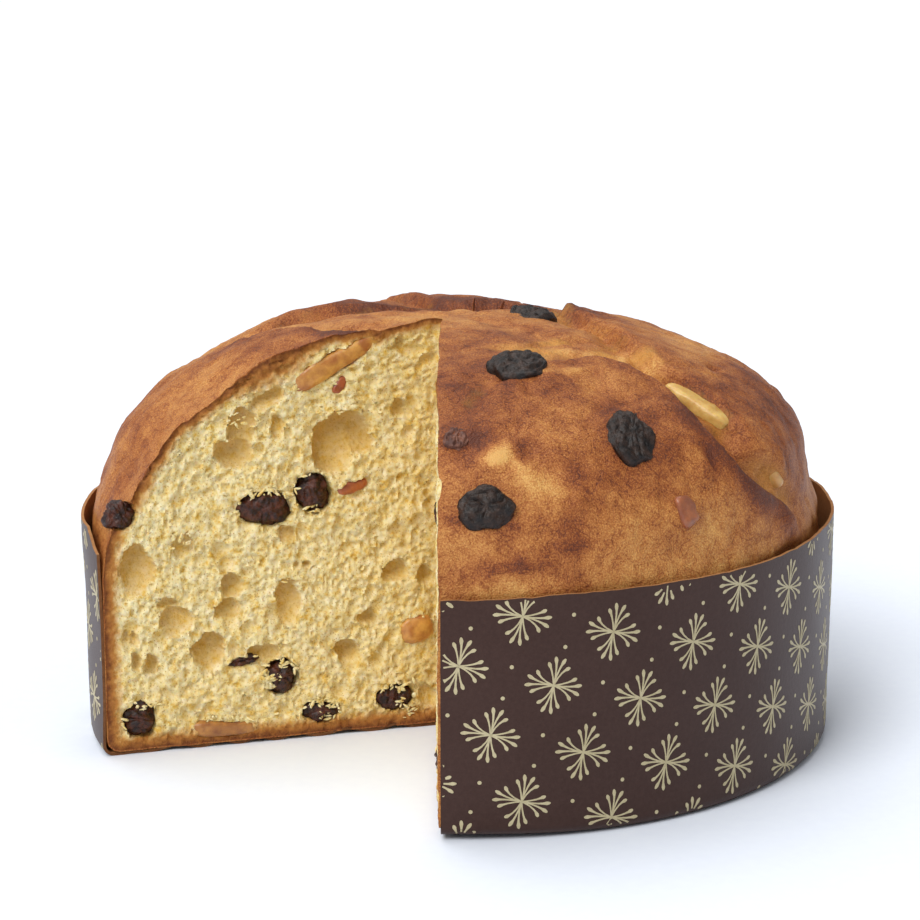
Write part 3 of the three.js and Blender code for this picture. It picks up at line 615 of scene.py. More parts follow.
def press_bubbles(side, places):
    """Open bubbles of a cut: how deep and how smooth they are, and how much bubble floor colour they take,
    with painted shade towards each one's top and one side.
    """
    hollow, smooth, golden_and_shade = [np.zeros_like(places[0]) for _ in range(3)]
    bubbles = LEFT_BUBBLES if side == "left" else front_bubbles()
    for away, rise, wide, tall, tilt, smoothness in bubbles:
        narrow = min(wide, tall)
        deep = max((0.42 if smoothness > 0.4 else 0.6) * narrow, min(PIT_FULL, 0.8 * narrow))
        pit = (-CUTS[side]["side"] * away, rise, wide / 2, tall / 2, tilt, deep)
        pressed = press(hollow, *places, pit, BUBBLE_POWER, BUBBLE_LEAN)
        if pressed:
            window, inside, shade = pressed
            share = smoothness * smoothstep(0.0, 0.22, inside)
            np.maximum(smooth[window], share, out=smooth[window])
            # painted shade: more of the floor colour towards each bubble's top and one side, so it is
            # darker there
            np.maximum(golden_and_shade[window], share * (0.62 + 0.36 * shade), out=golden_and_shade[window])
    return hollow, smooth, golden_and_shade


def press_fruit(side, places):
    """Hollows that hold the fruit of a cut."""
    hollow = np.zeros_like(places[0])
    for kind, sides in CUT_FRUIT.items():
        for away, rise, long, thick, tilt, *_ in sides[side]:
            narrow = min(long, thick) if kind == "raisin" else thick
            share = HOLLOW_SHARE[kind]
            deep = HOLLOW_DEPTH[kind] * narrow + FRUIT_SUNK * thick
            pit = (-CUTS[side]["side"] * away, rise, long * share, thick * share, tilt, deep)
            press(hollow, *places, pit, PORE_POWER)
    return hollow


def press_pores(side, places):
    """Fine pores of the crumb, drawn out along its grain."""
    cut = CUTS[side]
    rng = np.random.default_rng(cut["seed"])
    area = cut["reach"] * (CUT_HIGH - CUT_LOW) / 100
    hollow = np.zeros_like(places[0])
    for layer in PORES:
        small, large = layer["radius"]
        for a, b, c, d, e in rng.random((int(layer["density"] * area), 5)):
            away, rise = a * cut["reach"], CUT_LOW + b * (CUT_HIGH - CUT_LOW)
            size = small + (large - small) * c ** 1.6
            stretch, tilt = pore_grain(side, away, rise, d)
            tilt += PORE_TURN * (e - 0.5)
            pit = (-cut["side"] * away, rise, size * stretch, size / stretch, tilt, size * layer["deep"])
            press(hollow, *places, pit, PORE_POWER, PORE_LEAN)
    return hollow


def crumb_face(side, distances, heights):
    """Relief of a torn crumb face over its plane, with how deep each place is as a share that sets painted
    shade in the pits, and how much bubble floor colour it takes, with painted shade towards each bubble's
    top and one side.
    """
    cut = CUTS[side]
    seed = cut["seed"]
    along, _ = cut_axes(side)
    grid = distance, height = np.meshgrid(distances, heights)
    places = [-cut["side"] * distance, height]
    for spacing, strength, offset in OUTLINE_WAVES:
        places = wavy(places, grid, spacing, strength, seed + offset)
    spacing, strength, offset = BUBBLE_WAVES
    big, smooth, golden_and_shade = press_bubbles(side, wavy(places, grid, spacing, strength, seed + offset))
    fruit = press_fruit(side, places)
    pores = press_pores(side, places)

    radius = np.hypot(APEX[0] + along[0] * distance, APEX[1] + along[1] * distance)
    inner = (1 - smoothstep(0.86, 0.97, dome_level(radius, height))) * smoothstep(2, 5, height)
    coarse, fine, torn, shreds = [
        strength * field(distance / spacing, height / spacing, seed + offset)
        for spacing, strength, offset in CRAGS]
    rough = 1 - 0.92 * smooth
    hollow = np.where(big > pores, big + 0.5 * pores * rough, np.maximum(pores, big))
    hollow = np.maximum(hollow * (0.25 + 0.75 * inner), fruit)
    relief = coarse + (fine + (torn + shreds)) * (0.3 + 0.7 * rough)
    relief = relief * (0.4 + 0.6 * inner) + cut["proud"] * smoothstep(0, 6, distance) - hollow
    relief = relief * smoothstep(0, 3, distance)
    return relief, np.clip(hollow / PIT_FULL, 0, 1), golden_and_shade


def pore_grain(side, distance, height, chance):
    """Stretch and tilt of a pore: drawn out along the crust near it, upright in the middle."""
    along, _ = cut_axes(side)
    place = APEX + along * distance
    radius = max(math.hypot(place[0], place[1]), 1e-6)
    climb = max(height - DOME_BASE, 0) / DOME_RISE
    slope_out = (radius / DOME_RADIUS) ** (DOME_POWER - 1) / DOME_RADIUS
    slope_out *= float(place @ along) / radius * -CUTS[side]["side"]
    slope_up = climb ** (DOME_POWER - 1) / DOME_RISE
    near = float(smoothstep(0.15, 0.8, dome_level(radius, height)) * smoothstep(40, 60, height))
    tilt = math.atan2(slope_up, slope_out) / DEG + 90
    if near < 0.15:
        return 1 + 0.35 * chance, 90.0
    return 1 + near * (0.35 + 0.5 * chance), tilt


def cutter_axes():
    """Distances along the cut faces' columns and heights of their rows."""
    spans = {}
    for side, cut in CUTS.items():
        near = np.arange(0, cut["reach"] + cut["step"] / 2, cut["step"])
        spans[side] = np.concatenate([near, [near[-1] + 4, CUT_FAR]])
    loaf_top = DOME_BASE + DOME_RISE + 3
    heights = np.concatenate([[CUT_LOW], np.arange(0.6, loaf_top, CUT_ROW), [CUT_HIGH]])
    return spans, heights


# Mesh helpers


def start_mesh(operator, name, **settings):
    """A fresh primitive with its name, and nothing else selected."""
    if bpy.context.object and bpy.context.object.mode != "OBJECT":
        bpy.ops.object.mode_set(mode="OBJECT")
    bpy.ops.object.select_all(action="DESELECT")
    operator(**settings)
    piece = bpy.context.object
    piece.name = name
    piece.data.name = name
    return piece


def read_points(mesh):
    points = np.empty(len(mesh.vertices) * 3, np.float32)
    mesh.vertices.foreach_get("co", points)
    return points.reshape(-1, 3).astype(float) / MM


def write_points(mesh, points):
    mesh.vertices.foreach_set("co", (points * MM).astype(np.float32).ravel())
    mesh.update()


def write_attributes(mesh, *columns):
    """What the dough's material reads at each point."""
    for name, values in zip(DOUGH_ATTRIBUTES, columns):
        attribute = mesh.attributes.new(name, "FLOAT", "POINT")
        attribute.data.foreach_set("value", np.asarray(values, np.float32))


def read_faces(mesh, value):
    """Centre or normal of every face."""
    values = np.empty(len(mesh.polygons) * 3, np.float32)
    mesh.polygons.foreach_get(value, values)
    return values.reshape(-1, 3)


def select_only(piece):
    bpy.ops.object.select_all(action="DESELECT")
    piece.select_set(True)
    bpy.context.view_layer.objects.active = piece


def apply_modifier(piece, kind, **settings):
    select_only(piece)
    modifier = piece.modifiers.new(kind.title(), kind)
    for key, value in settings.items():
        setattr(modifier, key, value)
    bpy.ops.object.modifier_apply(modifier=modifier.name)


def cut_away(piece, cutter):
    """Cuts one closed mesh out of another and removes the cutter."""
    apply_modifier(piece, "BOOLEAN", operation="DIFFERENCE", solver="MANIFOLD", object=cutter)
    if not len(piece.data.polygons):
        raise RuntimeError(f"nothing is left of {piece.name} after the cut")
    bpy.data.meshes.remove(cutter.data)


def face_outwards(piece):
    bpy.context.view_layer.objects.active = piece
    bpy.ops.object.mode_set(mode="EDIT")
    bpy.ops.mesh.select_all(action="SELECT")
    bpy.ops.mesh.normals_make_consistent(inside=False)
    bpy.ops.object.mode_set(mode="OBJECT")


def finish_piece(piece, nodes, smooth_angle=None):
    """Shades a piece, fixes it to the loaf's body and has it stand for its solids."""
    select_only(piece)
    if smooth_angle is None:
        bpy.ops.object.shade_smooth()
    else:
        bpy.ops.object.shade_smooth_by_angle(angle=smooth_angle * DEG)
    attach(piece, "root")
    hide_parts(*nodes)


# Materials


def set_up(tree, node, settings):
    """Sets a node's properties and inputs. A socket is linked, and a word is a colour of the panel."""
    for key, value in settings.items():
        if key == "stops":
            elements = node.color_ramp.elements
            while len(elements) < len(value):
                elements.new(0.5)
            for element, (place, colour) in zip(elements, value):
                element.position = place
                element.color = hue(colour)
        elif isinstance(key, str) and key not in node.inputs:
            setattr(node, key, value)
        elif isinstance(value, bpy.types.NodeSocket):
            tree.links.new(value, node.inputs[key])
        else:
            node.inputs[key].default_value = hue(value) if isinstance(value, str) else value


def add_node(tree, kind, settings=None):
    node = tree.nodes.new(kind)
    set_up(tree, node, settings or {})
    return node


def new_material(name):
    """An empty material, its principled shader wired to its output, and places on the object."""
    material = bpy.data.materials.new(name)
    material.use_nodes = True
    tree = material.node_tree
    tree.nodes.clear()
    shader = add_node(tree, "ShaderNodeBsdfPrincipled")
    add_node(tree, "ShaderNodeOutputMaterial", {"Surface": shader.outputs[0]})
    return material, tree, shader, add_node(tree, "ShaderNodeTexCoord").outputs["Object"]


def node_noise(tree, place, size, detail=2.0, roughness=0.5, distortion=0.0):
    """Noise with clouds of a size in millimetres."""
    return add_node(tree, "ShaderNodeTexNoise", {
        "Vector": place, "Scale": 1 / (size * MM), "Detail": detail, "Roughness": roughness,
        "Distortion": distortion}).outputs["Fac"]


def node_cells(tree, place, size):
    """Distance from the middle of the nearest of many cells of a size in millimetres."""
    settings = {"Vector": place, "Scale": 1 / (size * MM)}
    return add_node(tree, "ShaderNodeTexVoronoi", settings).outputs["Distance"]


def node_range(tree, value, low, high, to_low=0.0, to_high=1.0):
    """A value's span brought to another span and held inside it."""
    return add_node(tree, "ShaderNodeMapRange", {
        "Value": value, "From Min": low, "From Max": high, "To Min": to_low, "To Max": to_high}).outputs[0]


def node_math(tree, operation, *values):
    return add_node(tree, "ShaderNodeMath", {"operation": operation, **dict(enumerate(values))}).outputs[0]


def node_mix(tree, share, first, second):
    """Colour at a share of the way between two colours."""
    settings = {"data_type": "RGBA", 0: share, 6: first, 7: second}
    return add_node(tree, "ShaderNodeMix", settings).outputs[2]


def node_blend(tree, share, first, second):
    """Number at a share of the way between two numbers."""
    settings = {"data_type": "FLOAT", 0: share, 2: first, 3: second}
    return add_node(tree, "ShaderNodeMix", settings).outputs[0]


def node_ramp(tree, value, *stops):
    """Colour of the panel for a value, by stops of place and name."""
    return add_node(tree, "ShaderNodeValToRGB", {"Fac": value, "stops": stops}).outputs[0]


def node_bump(tree, height, deep, strength):
    """Normal of a relief that is so many millimetres deep."""
    settings = {"Height": height, "Distance": deep * MM, "Strength": strength}
    return add_node(tree, "ShaderNodeBump", settings).outputs[0]


def brioche_material():
    """Baked sweet dough: pale porous crumb inside, a mottled brown skin with a dull shine outside."""
    material, tree, shader, place = new_material("baked sweet dough")
    depth, pit, floor, score, bake, warm = [
        add_node(tree, "ShaderNodeAttribute", {"attribute_name": name}).outputs["Fac"]
        for name in DOUGH_ATTRIBUTES]

    # Crumb: cream walls round cells of 0.8 to 1.5 mm, with ochre specks that are painted shadow in the
    # small pores, painted shade in the cells and the deeper pits, and the large bubbles' floor colour with
    # painted shade
    bend = add_node(tree, "ShaderNodeTexNoise", {"Vector": place, "Scale": 1 / (1.6 * MM), "Detail": 2.0})
    bent = add_node(tree, "ShaderNodeVectorMath", {
        "operation": "MULTIPLY_ADD", 0: bend.outputs["Color"], 1: (0.9 * MM,) * 3, 2: place}).outputs[0]
    cells = node_cells(tree, bent, 1.5)
    specks = node_cells(tree, bent, 0.85)
    crumb = node_ramp(
        tree, node_noise(tree, place, 2.4, 5.0, 0.68),
        (0.34, "crumb_ochre"), (0.44, "crumb_yellow"), (0.56, "crumb_cream"), (0.7, "crumb_pale"))
    layers = (
        # painted shade: the middle of each cell, where the bump sinks a pit, is darkened
        (node_range(tree, cells, 0.42, 0.16, 0.0, 0.4), "crumb_hollow"),
        # painted shadow: the smallest pores go dark ochre
        (node_range(tree, specks, 0.3, 0.12, 0.0, 0.75), "crumb_speck"),
        (warm, "crumb_ochre"),
        # painted shade: the deeper the pit of the relief, the darker its colour
        (node_range(tree, pit, 0.2, 1.0, 0.0, 0.5), "crumb_hollow"),
        # the large bubbles' floor colour, with painted shade towards their top and one side
        (floor, "bubble_floor"),
    )
    for share, colour in layers:
        crumb = node_mix(tree, share, crumb, colour)

    # Browned band under the skin, about 4 mm wide and twice that at the scored edge, with a ragged inside
    ragged = node_math(tree, "MULTIPLY_ADD", node_noise(tree, place, 1.8, 3.0), 0.9, -0.45)
    ragged = node_math(tree, "ADD", depth, ragged)
    band = node_ramp(tree, ragged, (0.1, "band_dark"), (0.4, "band_brown"), (0.85, "band_light"))
    inside = node_mix(tree, node_range(tree, ragged, 0.65, 1.3, 1.0, 0.0), crumb, band)

    # Skin: browned in clouds of about 7 mm, with fine fold lines painted darker as shade in their grooves,
    # and a finer speckle
    clouds = node_noise(tree, place, 7, 5.0, 0.62)
    grain = node_noise(tree, place, 0.42, 2.0, 0.6)
    folds = node_noise(tree, place, 4.5, 3.0, 0.5, 0.6)
    fold = node_math(tree, "ABSOLUTE", node_math(tree, "SUBTRACT", folds, 0.5))
    # painted shade: the colour darkens along the fold lines, where the bump below sinks grooves
    lines = node_math(tree, "MULTIPLY", node_range(tree, fold, 0.0, 0.035, 0.6, 0.0), clouds)
    brown = node_math(tree, "MULTIPLY_ADD", clouds, 1.7, bake)
    brown = node_math(tree, "ADD", brown, lines)
    brown = node_math(tree, "MULTIPLY_ADD", grain, 2.25, brown)
    skin = node_ramp(
        tree, node_range(tree, brown, 0.9, 3.18),
        (0.08, "skin_pale"), (0.3, "skin_light"), (0.5, "skin_brown"), (0.72, "skin_dark"),
        (0.95, "skin_scorched"))
    torn = node_math(tree, "ADD", score, node_math(tree, "MULTIPLY_ADD", clouds, 1.4, -0.7))
    skin = node_mix(tree, node_range(tree, torn, 0.25, 0.95, 0.0, 0.6), skin, "torn_dough")
    skin_share = node_range(tree, depth, 0.02, 0.1, 1.0, 0.0)

    # Relief and shine: dry porous crumb, satin bubble floors, and a skin like soft leather
    holes = node_math(tree, "MULTIPLY_ADD", cells, 1.2, grain)
    leather = node_math(tree, "MULTIPLY_ADD", folds, 2.2, grain)
    leather = node_math(tree, "MULTIPLY_ADD", lines, -1.0, leather)
    set_up(tree, shader, {
        "Base Color": node_mix(tree, skin_share, inside, skin),
        "Roughness": node_blend(tree, skin_share, node_range(tree, floor, 0.0, 1.0, 0.8, 0.45), 0.5),
        "Normal": node_bump(tree, node_blend(tree, skin_share, holes, leather), 0.4, 0.8),
        "Subsurface Weight": 0.15, "Subsurface Radius": (1.0, 0.6, 0.3), "Subsurface Scale": 1.5 * MM,
        "Specular IOR Level": 0.24})
    return material


def raisin_material(name, colour, roughness, coat):
    """Dried grape skin: nearly black folds with browner ridges and a sticky shine."""
    material, tree, shader, place = new_material(name)
    folds = node_noise(tree, place, 2.2, 4.0, 0.6)
    pores = node_noise(tree, place, 0.7, 3.0, 0.6)
    set_up(tree, shader, {
        "Base Color": node_ramp(tree, folds, (0.4, colour), (0.68, colour + "_ridge")),
        "Roughness": node_range(tree, pores, 0.35, 0.7, roughness - 0.1, roughness + 0.15),
        "Normal": node_bump(tree, pores, 0.45, 0.9),
        "Coat Weight": coat, "Coat Roughness": 0.25, "Specular IOR Level": 0.35})
    return material


def peel_material(name, colour):
    """Candied peel: translucent and syrupy, with sugar grain under a soft gloss."""
    material, tree, shader, place = new_material(name)
    cloud = node_noise(tree, place, 3.5, 3.0, 0.55)
    sugar = node_noise(tree, place, 0.8, 2.0, 0.6)
    set_up(tree, shader, {
        "Base Color": node_ramp(tree, cloud, (0.35, colour + "_deep"), (0.65, colour + "_pale")),
        "Roughness": 0.42, "Normal": node_bump(tree, sugar, 0.2, 0.7),
        "Subsurface Weight": 0.35, "Subsurface Radius": (1.0, 0.5, 0.15), "Subsurface Scale": 3 * MM,
        "Coat Weight": 0.25, "Coat Roughness": 0.3})
    return material


def paper_material(name, colour, fleck, roughness, coat=0.0):
    """Greaseproof baking paper: faint fibres and a soft ripple."""
    material, tree, shader, place = new_material(name)
    fibres = node_noise(tree, place, 1.2, 4.0, 0.7)
    tone = node_math(tree, "MULTIPLY_ADD", node_noise(tree, place, 22), 0.5, fibres)
    set_up(tree, shader, {
        "Base Color": node_mix(tree, node_range(tree, tone, 0.55, 1.0), colour, fleck),
        "Roughness": roughness, "Normal": node_bump(tree, tone, 0.15, 0.5),
        "Coat Weight": coat, "Coat Roughness": 0.35, "Specular IOR Level": 0.23})
    return material


# Pieces


def make_crust():
    """The whole loaf before it was cut, as a ball re-shaped to the baked outline."""
    rings = DOME_ROWS + len(WALL_ROWS) + FOOT_STEPS + 1 + len(BASE_ROWS) + 1
    loaf = start_mesh(bpy.ops.mesh.primitive_uv_sphere_add, "panettone_loaf",
                      segments=CRUST_COLUMNS, ring_count=rings, radius=1.0)
    ball = read_points(loaf.data) * MM
    row = np.rint(np.arccos(np.clip(ball[:, 2], -1, 1)) / math.pi * rings).astype(int)
    azimuth = np.arctan2(ball[:, 1], ball[:, 0]) / DEG

    foot = [k / FOOT_STEPS * 90 * DEG for k in range(FOOT_STEPS, -1, -1)]
    radii = [LOAF_RADIUS] * len(WALL_ROWS)
    radii += [LOAF_RADIUS - LOAF_FOOT_ROUND * (1 - math.sin(a)) for a in foot] + BASE_ROWS
    heights = WALL_ROWS + [LOAF_BASE + LOAF_FOOT_ROUND * (1 - math.cos(a)) for a in foot]
    heights += [LOAF_BASE] * len(BASE_ROWS)
    below = np.clip(row - DOME_ROWS - 1, 0, len(radii) - 1)
    radius, height = np.array(radii)[below], np.array(heights)[below]
    points = np.stack([radius * np.cos(azimuth * DEG), radius * np.sin(azimuth * DEG), height], axis=1)
    points[row == rings] = (0, 0, LOAF_BASE)

    dome = row <= DOME_ROWS
    plain = dome_points(ARCS[-1] * row[dome] / DOME_ROWS, azimuth[dome])
    plain[row[dome] == 0, :2] = 1e-6
    formed, normals, _, score = crust_form(plain)
    above = smoothstep(DOME_BASE, DOME_BASE + 4, plain[:, 2])
    points[dome] = formed + normals * (fine_relief(plain, score) * above)[:, None]
    write_points(loaf.data, points)
    return loaf


def make_cutter(torn):
    """The missing slice as a solid: two cut faces that meet at the apex, closed behind."""
    spans, heights = cutter_axes()
    spans = {"left": spans["left"][::-1], "front": spans["front"][1:]}
    columns = sum(len(distances) for distances in spans.values())
    cutter = start_mesh(bpy.ops.mesh.primitive_grid_add, "slice", size=2,
                        x_subdivisions=columns - 1, y_subdivisions=len(heights) - 1)
    flat = read_points(cutter.data) * MM
    column = np.rint((flat[:, 0] + 1) / 2 * (columns - 1)).astype(int)
    row = np.rint((flat[:, 1] + 1) / 2 * (len(heights) - 1)).astype(int)
    points = np.zeros_like(flat)
    faces = {}
    first = 0
    for side, distances in spans.items():
        along, normal = cut_axes(side)
        chosen = (column >= first) & (column < first + len(distances))
        place = column[chosen] - first
        points[chosen] = APEX + distances[place][:, None] * along
        if torn:
            # smooth here takes the bubbles' floor share, with its painted shade
            relief, pit, smooth = crumb_face(side, distances, heights)
            relief[0] = relief[-1] = 0
            points[chosen] += relief[row[chosen], place][:, None] * normal
            faces[side] = (distances, heights, pit, smooth)
        points[chosen, 2] = heights[row[chosen]]
        first += len(distances)
    write_points(cutter.data, points)

    grid = np.empty((len(heights), columns), int)
    grid[row, column] = np.arange(len(points))
    rings = [grid[0], grid[-1], [grid[0, 0], *grid[1:, 0], *grid[::-1, -1]]]
    bpy.ops.object.mode_set(mode="EDIT")
    bpy.ops.mesh.select_mode(type="VERT")
    for ring in rings:
        bpy.ops.mesh.select_all(action="DESELECT")
        bpy.ops.object.mode_set(mode="OBJECT")
        for index in ring:
            cutter.data.vertices[int(index)].select = True
        bpy.ops.object.mode_set(mode="EDIT")
        bpy.ops.mesh.edge_face_add()
    bpy.ops.object.mode_set(mode="OBJECT")
    face_outwards(cutter)
    return cutter, faces


def sample_face(face, distance, height):
    """Nearest values of a cut face's grids at places on it."""
    distances, heights, pit, smooth = face
    order = np.argsort(distances)
    column = order[np.clip(np.searchsorted(distances[order], distance), 0, len(order) - 1)]
    row = np.clip(np.searchsorted(heights, height), 0, len(heights) - 1)
    return pit[row, column], smooth[row, column]


def make_loaf():
    """The cut loaf: crust, torn crumb faces and what the shader needs to colour them."""
    loaf = make_crust()
    polygons = [tuple(p.vertices) for p in loaf.data.polygons]
    skin = BVHTree.FromPolygons([tuple(p) for p in read_points(loaf.data)], polygons)
    cutter, faces = make_cutter(True)
    cut_away(loaf, cutter)
    mesh = loaf.data
    points = read_points(mesh)
    depth = np.array([skin.find_nearest(Vector(p))[3] for p in points])
    write_points(mesh, settled(points))

    away = points - APEX
    turn = np.arctan2(away[:, 1], away[:, 0]) / DEG % 360
    middle = (CUTS["left"]["azimuth"] + CUTS["front"]["azimuth"]) / 2
    on_left = (turn < middle) & (turn > middle - 180)
    pit, smooth, distance = np.zeros((3, len(points)))
    for side, chosen in (("left", on_left), ("front", ~on_left)):
        along, _ = cut_axes(side)
        distance[chosen] = away[chosen] @ along
        pit[chosen], smooth[chosen] = sample_face(faces[side], distance[chosen], points[chosen, 2])
    inner = depth > 0.02
    pit, smooth = pit * inner, smooth * inner

    plain = nearest_dome(points)
    _, _, baked, opened = crust_form(plain)
    thick = band_thickness(distance, points[:, 2])
    warm = 0.25 * bell(distance / 20) + 0.1 * bell((points[:, 2] - 12) / 14)
    # painted shade: pit darkens the deeper pits, and 0.7 times smooth is the bubbles' floor share with its
    # painted shade
    write_attributes(mesh, depth / thick, pit, 0.7 * smooth, opened, baked, warm)
    return loaf


def nearest_dome(points):
    """Points of the plain dome in the same direction from inside the loaf as each point."""
    radius = np.hypot(points[:, 0], points[:, 1])
    climb = np.maximum(points[:, 2] - DOME_BASE, 0.0)
    level = np.maximum(dome_level(radius, points[:, 2]) ** (1 / DOME_POWER), 1e-3)
    plain = points / level[:, None]
    plain[:, 2] = DOME_BASE + climb / level
    return plain


def band_thickness(distance, height):
    """How far the browning goes in: thin at the side, thicker on top and at the scored edge."""
    top = smoothstep(DOME_BASE, DOME_BASE + 40, height)
    base = 1 - smoothstep(3, 14, height)
    scored = bell((distance - SCORED_EDGE["distance"]) / 10) * bell((height - SCORED_EDGE["height"]) / 8)
    return BAND["side"] + BAND["top"] * top + BAND["base"] * base + BAND["scored"] * scored


def make_case():
    """Cup of baking paper with a rounded foot, cut with the loaf and torn at one corner."""
    inner = CASE_RADIUS - FOOT_ROUND
    case = start_mesh(bpy.ops.mesh.primitive_circle_add, "baking_case", vertices=CASE_COLUMNS,
                      radius=inner * MM, fill_type="NGON")
    turns = [k / CASE_FOOT_STEPS * 90 * DEG for k in range(1, CASE_FOOT_STEPS + 1)]
    steps = [(inner + FOOT_ROUND * math.sin(a), FOOT_ROUND * (1 - math.cos(a))) for a in turns]
    steps += [(CASE_RADIUS, height) for height in np.linspace(FOOT_ROUND, CASE_HEIGHT, CASE_WALL_ROWS)[1:]]
    bpy.ops.object.mode_set(mode="EDIT")
    bpy.ops.mesh.select_mode(type="EDGE")
    bpy.ops.mesh.select_all(action="SELECT")
    bpy.ops.mesh.region_to_loop()
    radius, height = inner, 0.0
    for next_radius, next_height in steps:
        move = {"value": (0, 0, (next_height - height) * MM)}
        bpy.ops.mesh.extrude_edges_move(TRANSFORM_OT_translate=move)
        scale = next_radius / radius
        bpy.ops.transform.resize(value=(scale, scale, 1), center_override=(0, 0, next_height * MM))
        radius, height = next_radius, next_height
    bpy.ops.object.mode_set(mode="OBJECT")
    face_outwards(case)
    apply_modifier(case, "SOLIDIFY", thickness=PAPER * MM, offset=-1)
    cutter, _ = make_cutter(False)
    cut_away(case, cutter)
    cut_away(case, torn_corner())
    mesh = case.data
    points = read_points(mesh)
    radius = np.hypot(points[:, 0], points[:, 1])
    turn = np.arctan2(points[:, 1], points[:, 0])
    wall = smoothstep(WAVES_BEGIN, WAVES_FULL, points[:, 2])
    moved = 1 + wall_ripple(turn, points[:, 2]) * wall / np.maximum(radius, 1)
    points[:, :2] *= moved[:, None]
    rim = smoothstep(CASE_HEIGHT - 4, CASE_HEIGHT, points[:, 2])
    points[:, 2] += rim * (0.35 * np.sin(turn * 5 + 1) + 0.2 * field(turn * 40, 0 * turn, 3))
    points[:, 2] += base_flutes(points)
    write_points(mesh, settled(points))
    mesh.materials.clear()
    return case


def wall_ripple(turn, height):
    """How far the paper wall bulges out, in millimetres."""
    wave = 0.3 * np.sin(3 * turn + 0.4) + 0.22 * np.sin(8 * turn + height / 30)
    flare = 1.5 * bell((turn / DEG % 360 - 193) / 9) * smoothstep(35, CASE_HEIGHT, height)
    return 0.2 + wave + 0.12 * np.sin(19 * turn + height / 14) + flare


def settled(points):
    """Lifts the foot a little beside the front cut, where the loaf no longer weighs it down."""
    along = (np.arctan2(points[:, 1], points[:, 0]) + math.pi / 2) * CASE_RADIUS
    share = bell(along / LIFT_ALONG) * bell(points[:, 2] / LIFT_UP)
    lifted = points.copy()
    lifted[:, 2] += FOOT_LIFT * share * smoothstep(75, 100, np.hypot(points[:, 0], points[:, 1]))
    return lifted


def base_flutes(points):
    """The base paper's cut edge, which waves up and down under the left cut."""
    along, normal = cut_axes("left")
    away = points - APEX
    distance, out = away @ along, away @ normal
    low = 1 - smoothstep(1.0, 2.0, points[:, 2])
    near = (1 - smoothstep(1.0, 5.0, np.abs(out))) * smoothstep(4, 12, distance)
    wave = 0.5 + 0.5 * np.sin(distance / 12.5 * 2 * math.pi + np.sin(distance / 9))
    return low * near * wave * 1.1 * (1 - smoothstep(84, 92, distance))


def torn_corner():
    """What is missing of the rim beside the left cut, bounded by a curve like an S."""
    along, normal = cut_axes("left")
    reach = CASE_RADIUS - APEX @ along
    corner = APEX + along * reach
    radial = np.array([corner[0], corner[1], 0.0]) / np.hypot(corner[0], corner[1])
    tangent = np.cross(radial, UP)
    tangent *= -np.sign(tangent @ normal)
    cutter = start_mesh(bpy.ops.mesh.primitive_grid_add, "torn corner", size=2,
                        x_subdivisions=24, y_subdivisions=1)
    flat = read_points(cutter.data) * MM
    place = (flat[:, 0] + 1) / 2
    ragged = 0.25 * field(place * 9, 0 * place, 4)
    drop = TORN_DROP * (1 - smoothstep(0, 1, place)) ** 0.8 + ragged * (place < 1)
    height = np.where(flat[:, 1] < 0, CASE_HEIGHT - drop + 0.3 * place, CASE_HEIGHT + 4)
    sideways = place * TORN_REACH * 1.02 - (place == 0) * 3
    points = corner - radial * 6 + tangent * sideways[:, None]
    points[:, 2] = height
    write_points(cutter.data, points)
    bpy.ops.object.mode_set(mode="EDIT")
    bpy.ops.mesh.select_all(action="SELECT")
    out = {"value": tuple(radial * 12 * MM)}
    bpy.ops.mesh.extrude_region_move(TRANSFORM_OT_translate=out)
    bpy.ops.object.mode_set(mode="OBJECT")
    face_outwards(cutter)
    return cutter


def paint_case(case):
    """Printed paper outside, bare kraft inside and on the cut edges."""
    mesh = case.data
    centres, normals = read_faces(mesh, "center") / MM, read_faces(mesh, "normal")
    radial = centres[:, :2] / np.maximum(np.linalg.norm(centres[:, :2], axis=1, keepdims=True), 1e-6)
    outward = (normals[:, :2] * radial).sum(1)
    outside = (outward > 0.5) | (normals[:, 2] < -0.5)
    torn = np.zeros(len(centres), bool)
    for side in CUTS:
        along, normal = cut_axes(side)
        away = centres - APEX
        torn |= (np.abs(away @ normal) < 0.3) & (away @ along > 0) & (np.abs(normals @ normal) > 0.8)
    slots = np.where(torn, 2, np.where(outside, 0, 1))
    mesh.polygons.foreach_set("material_index", slots.astype(np.int32))
    mesh.update()


def rosette_arms():
    """Centre lines of a rosette's sixteen arms."""
    arms = []
    for quarter in range(4):
        for heading, reach, leaves, stem in ROSETTE_ARMS:
            tip = reach * np.array([math.cos(heading * DEG), math.sin(heading * DEG)])
            knee = reach * leaves * np.array([math.cos(stem * DEG), math.sin(stem * DEG)])
            line = np.array([2 * t * (1 - t) * knee * ARM_BEND + t * t * tip for t in ARM_PLACES])
            turn = quarter * 90 * DEG
            rotation = np.array([[math.cos(turn), math.sin(turn)], [-math.sin(turn), math.cos(turn)]])
            arms.append(line @ rotation)
    return arms


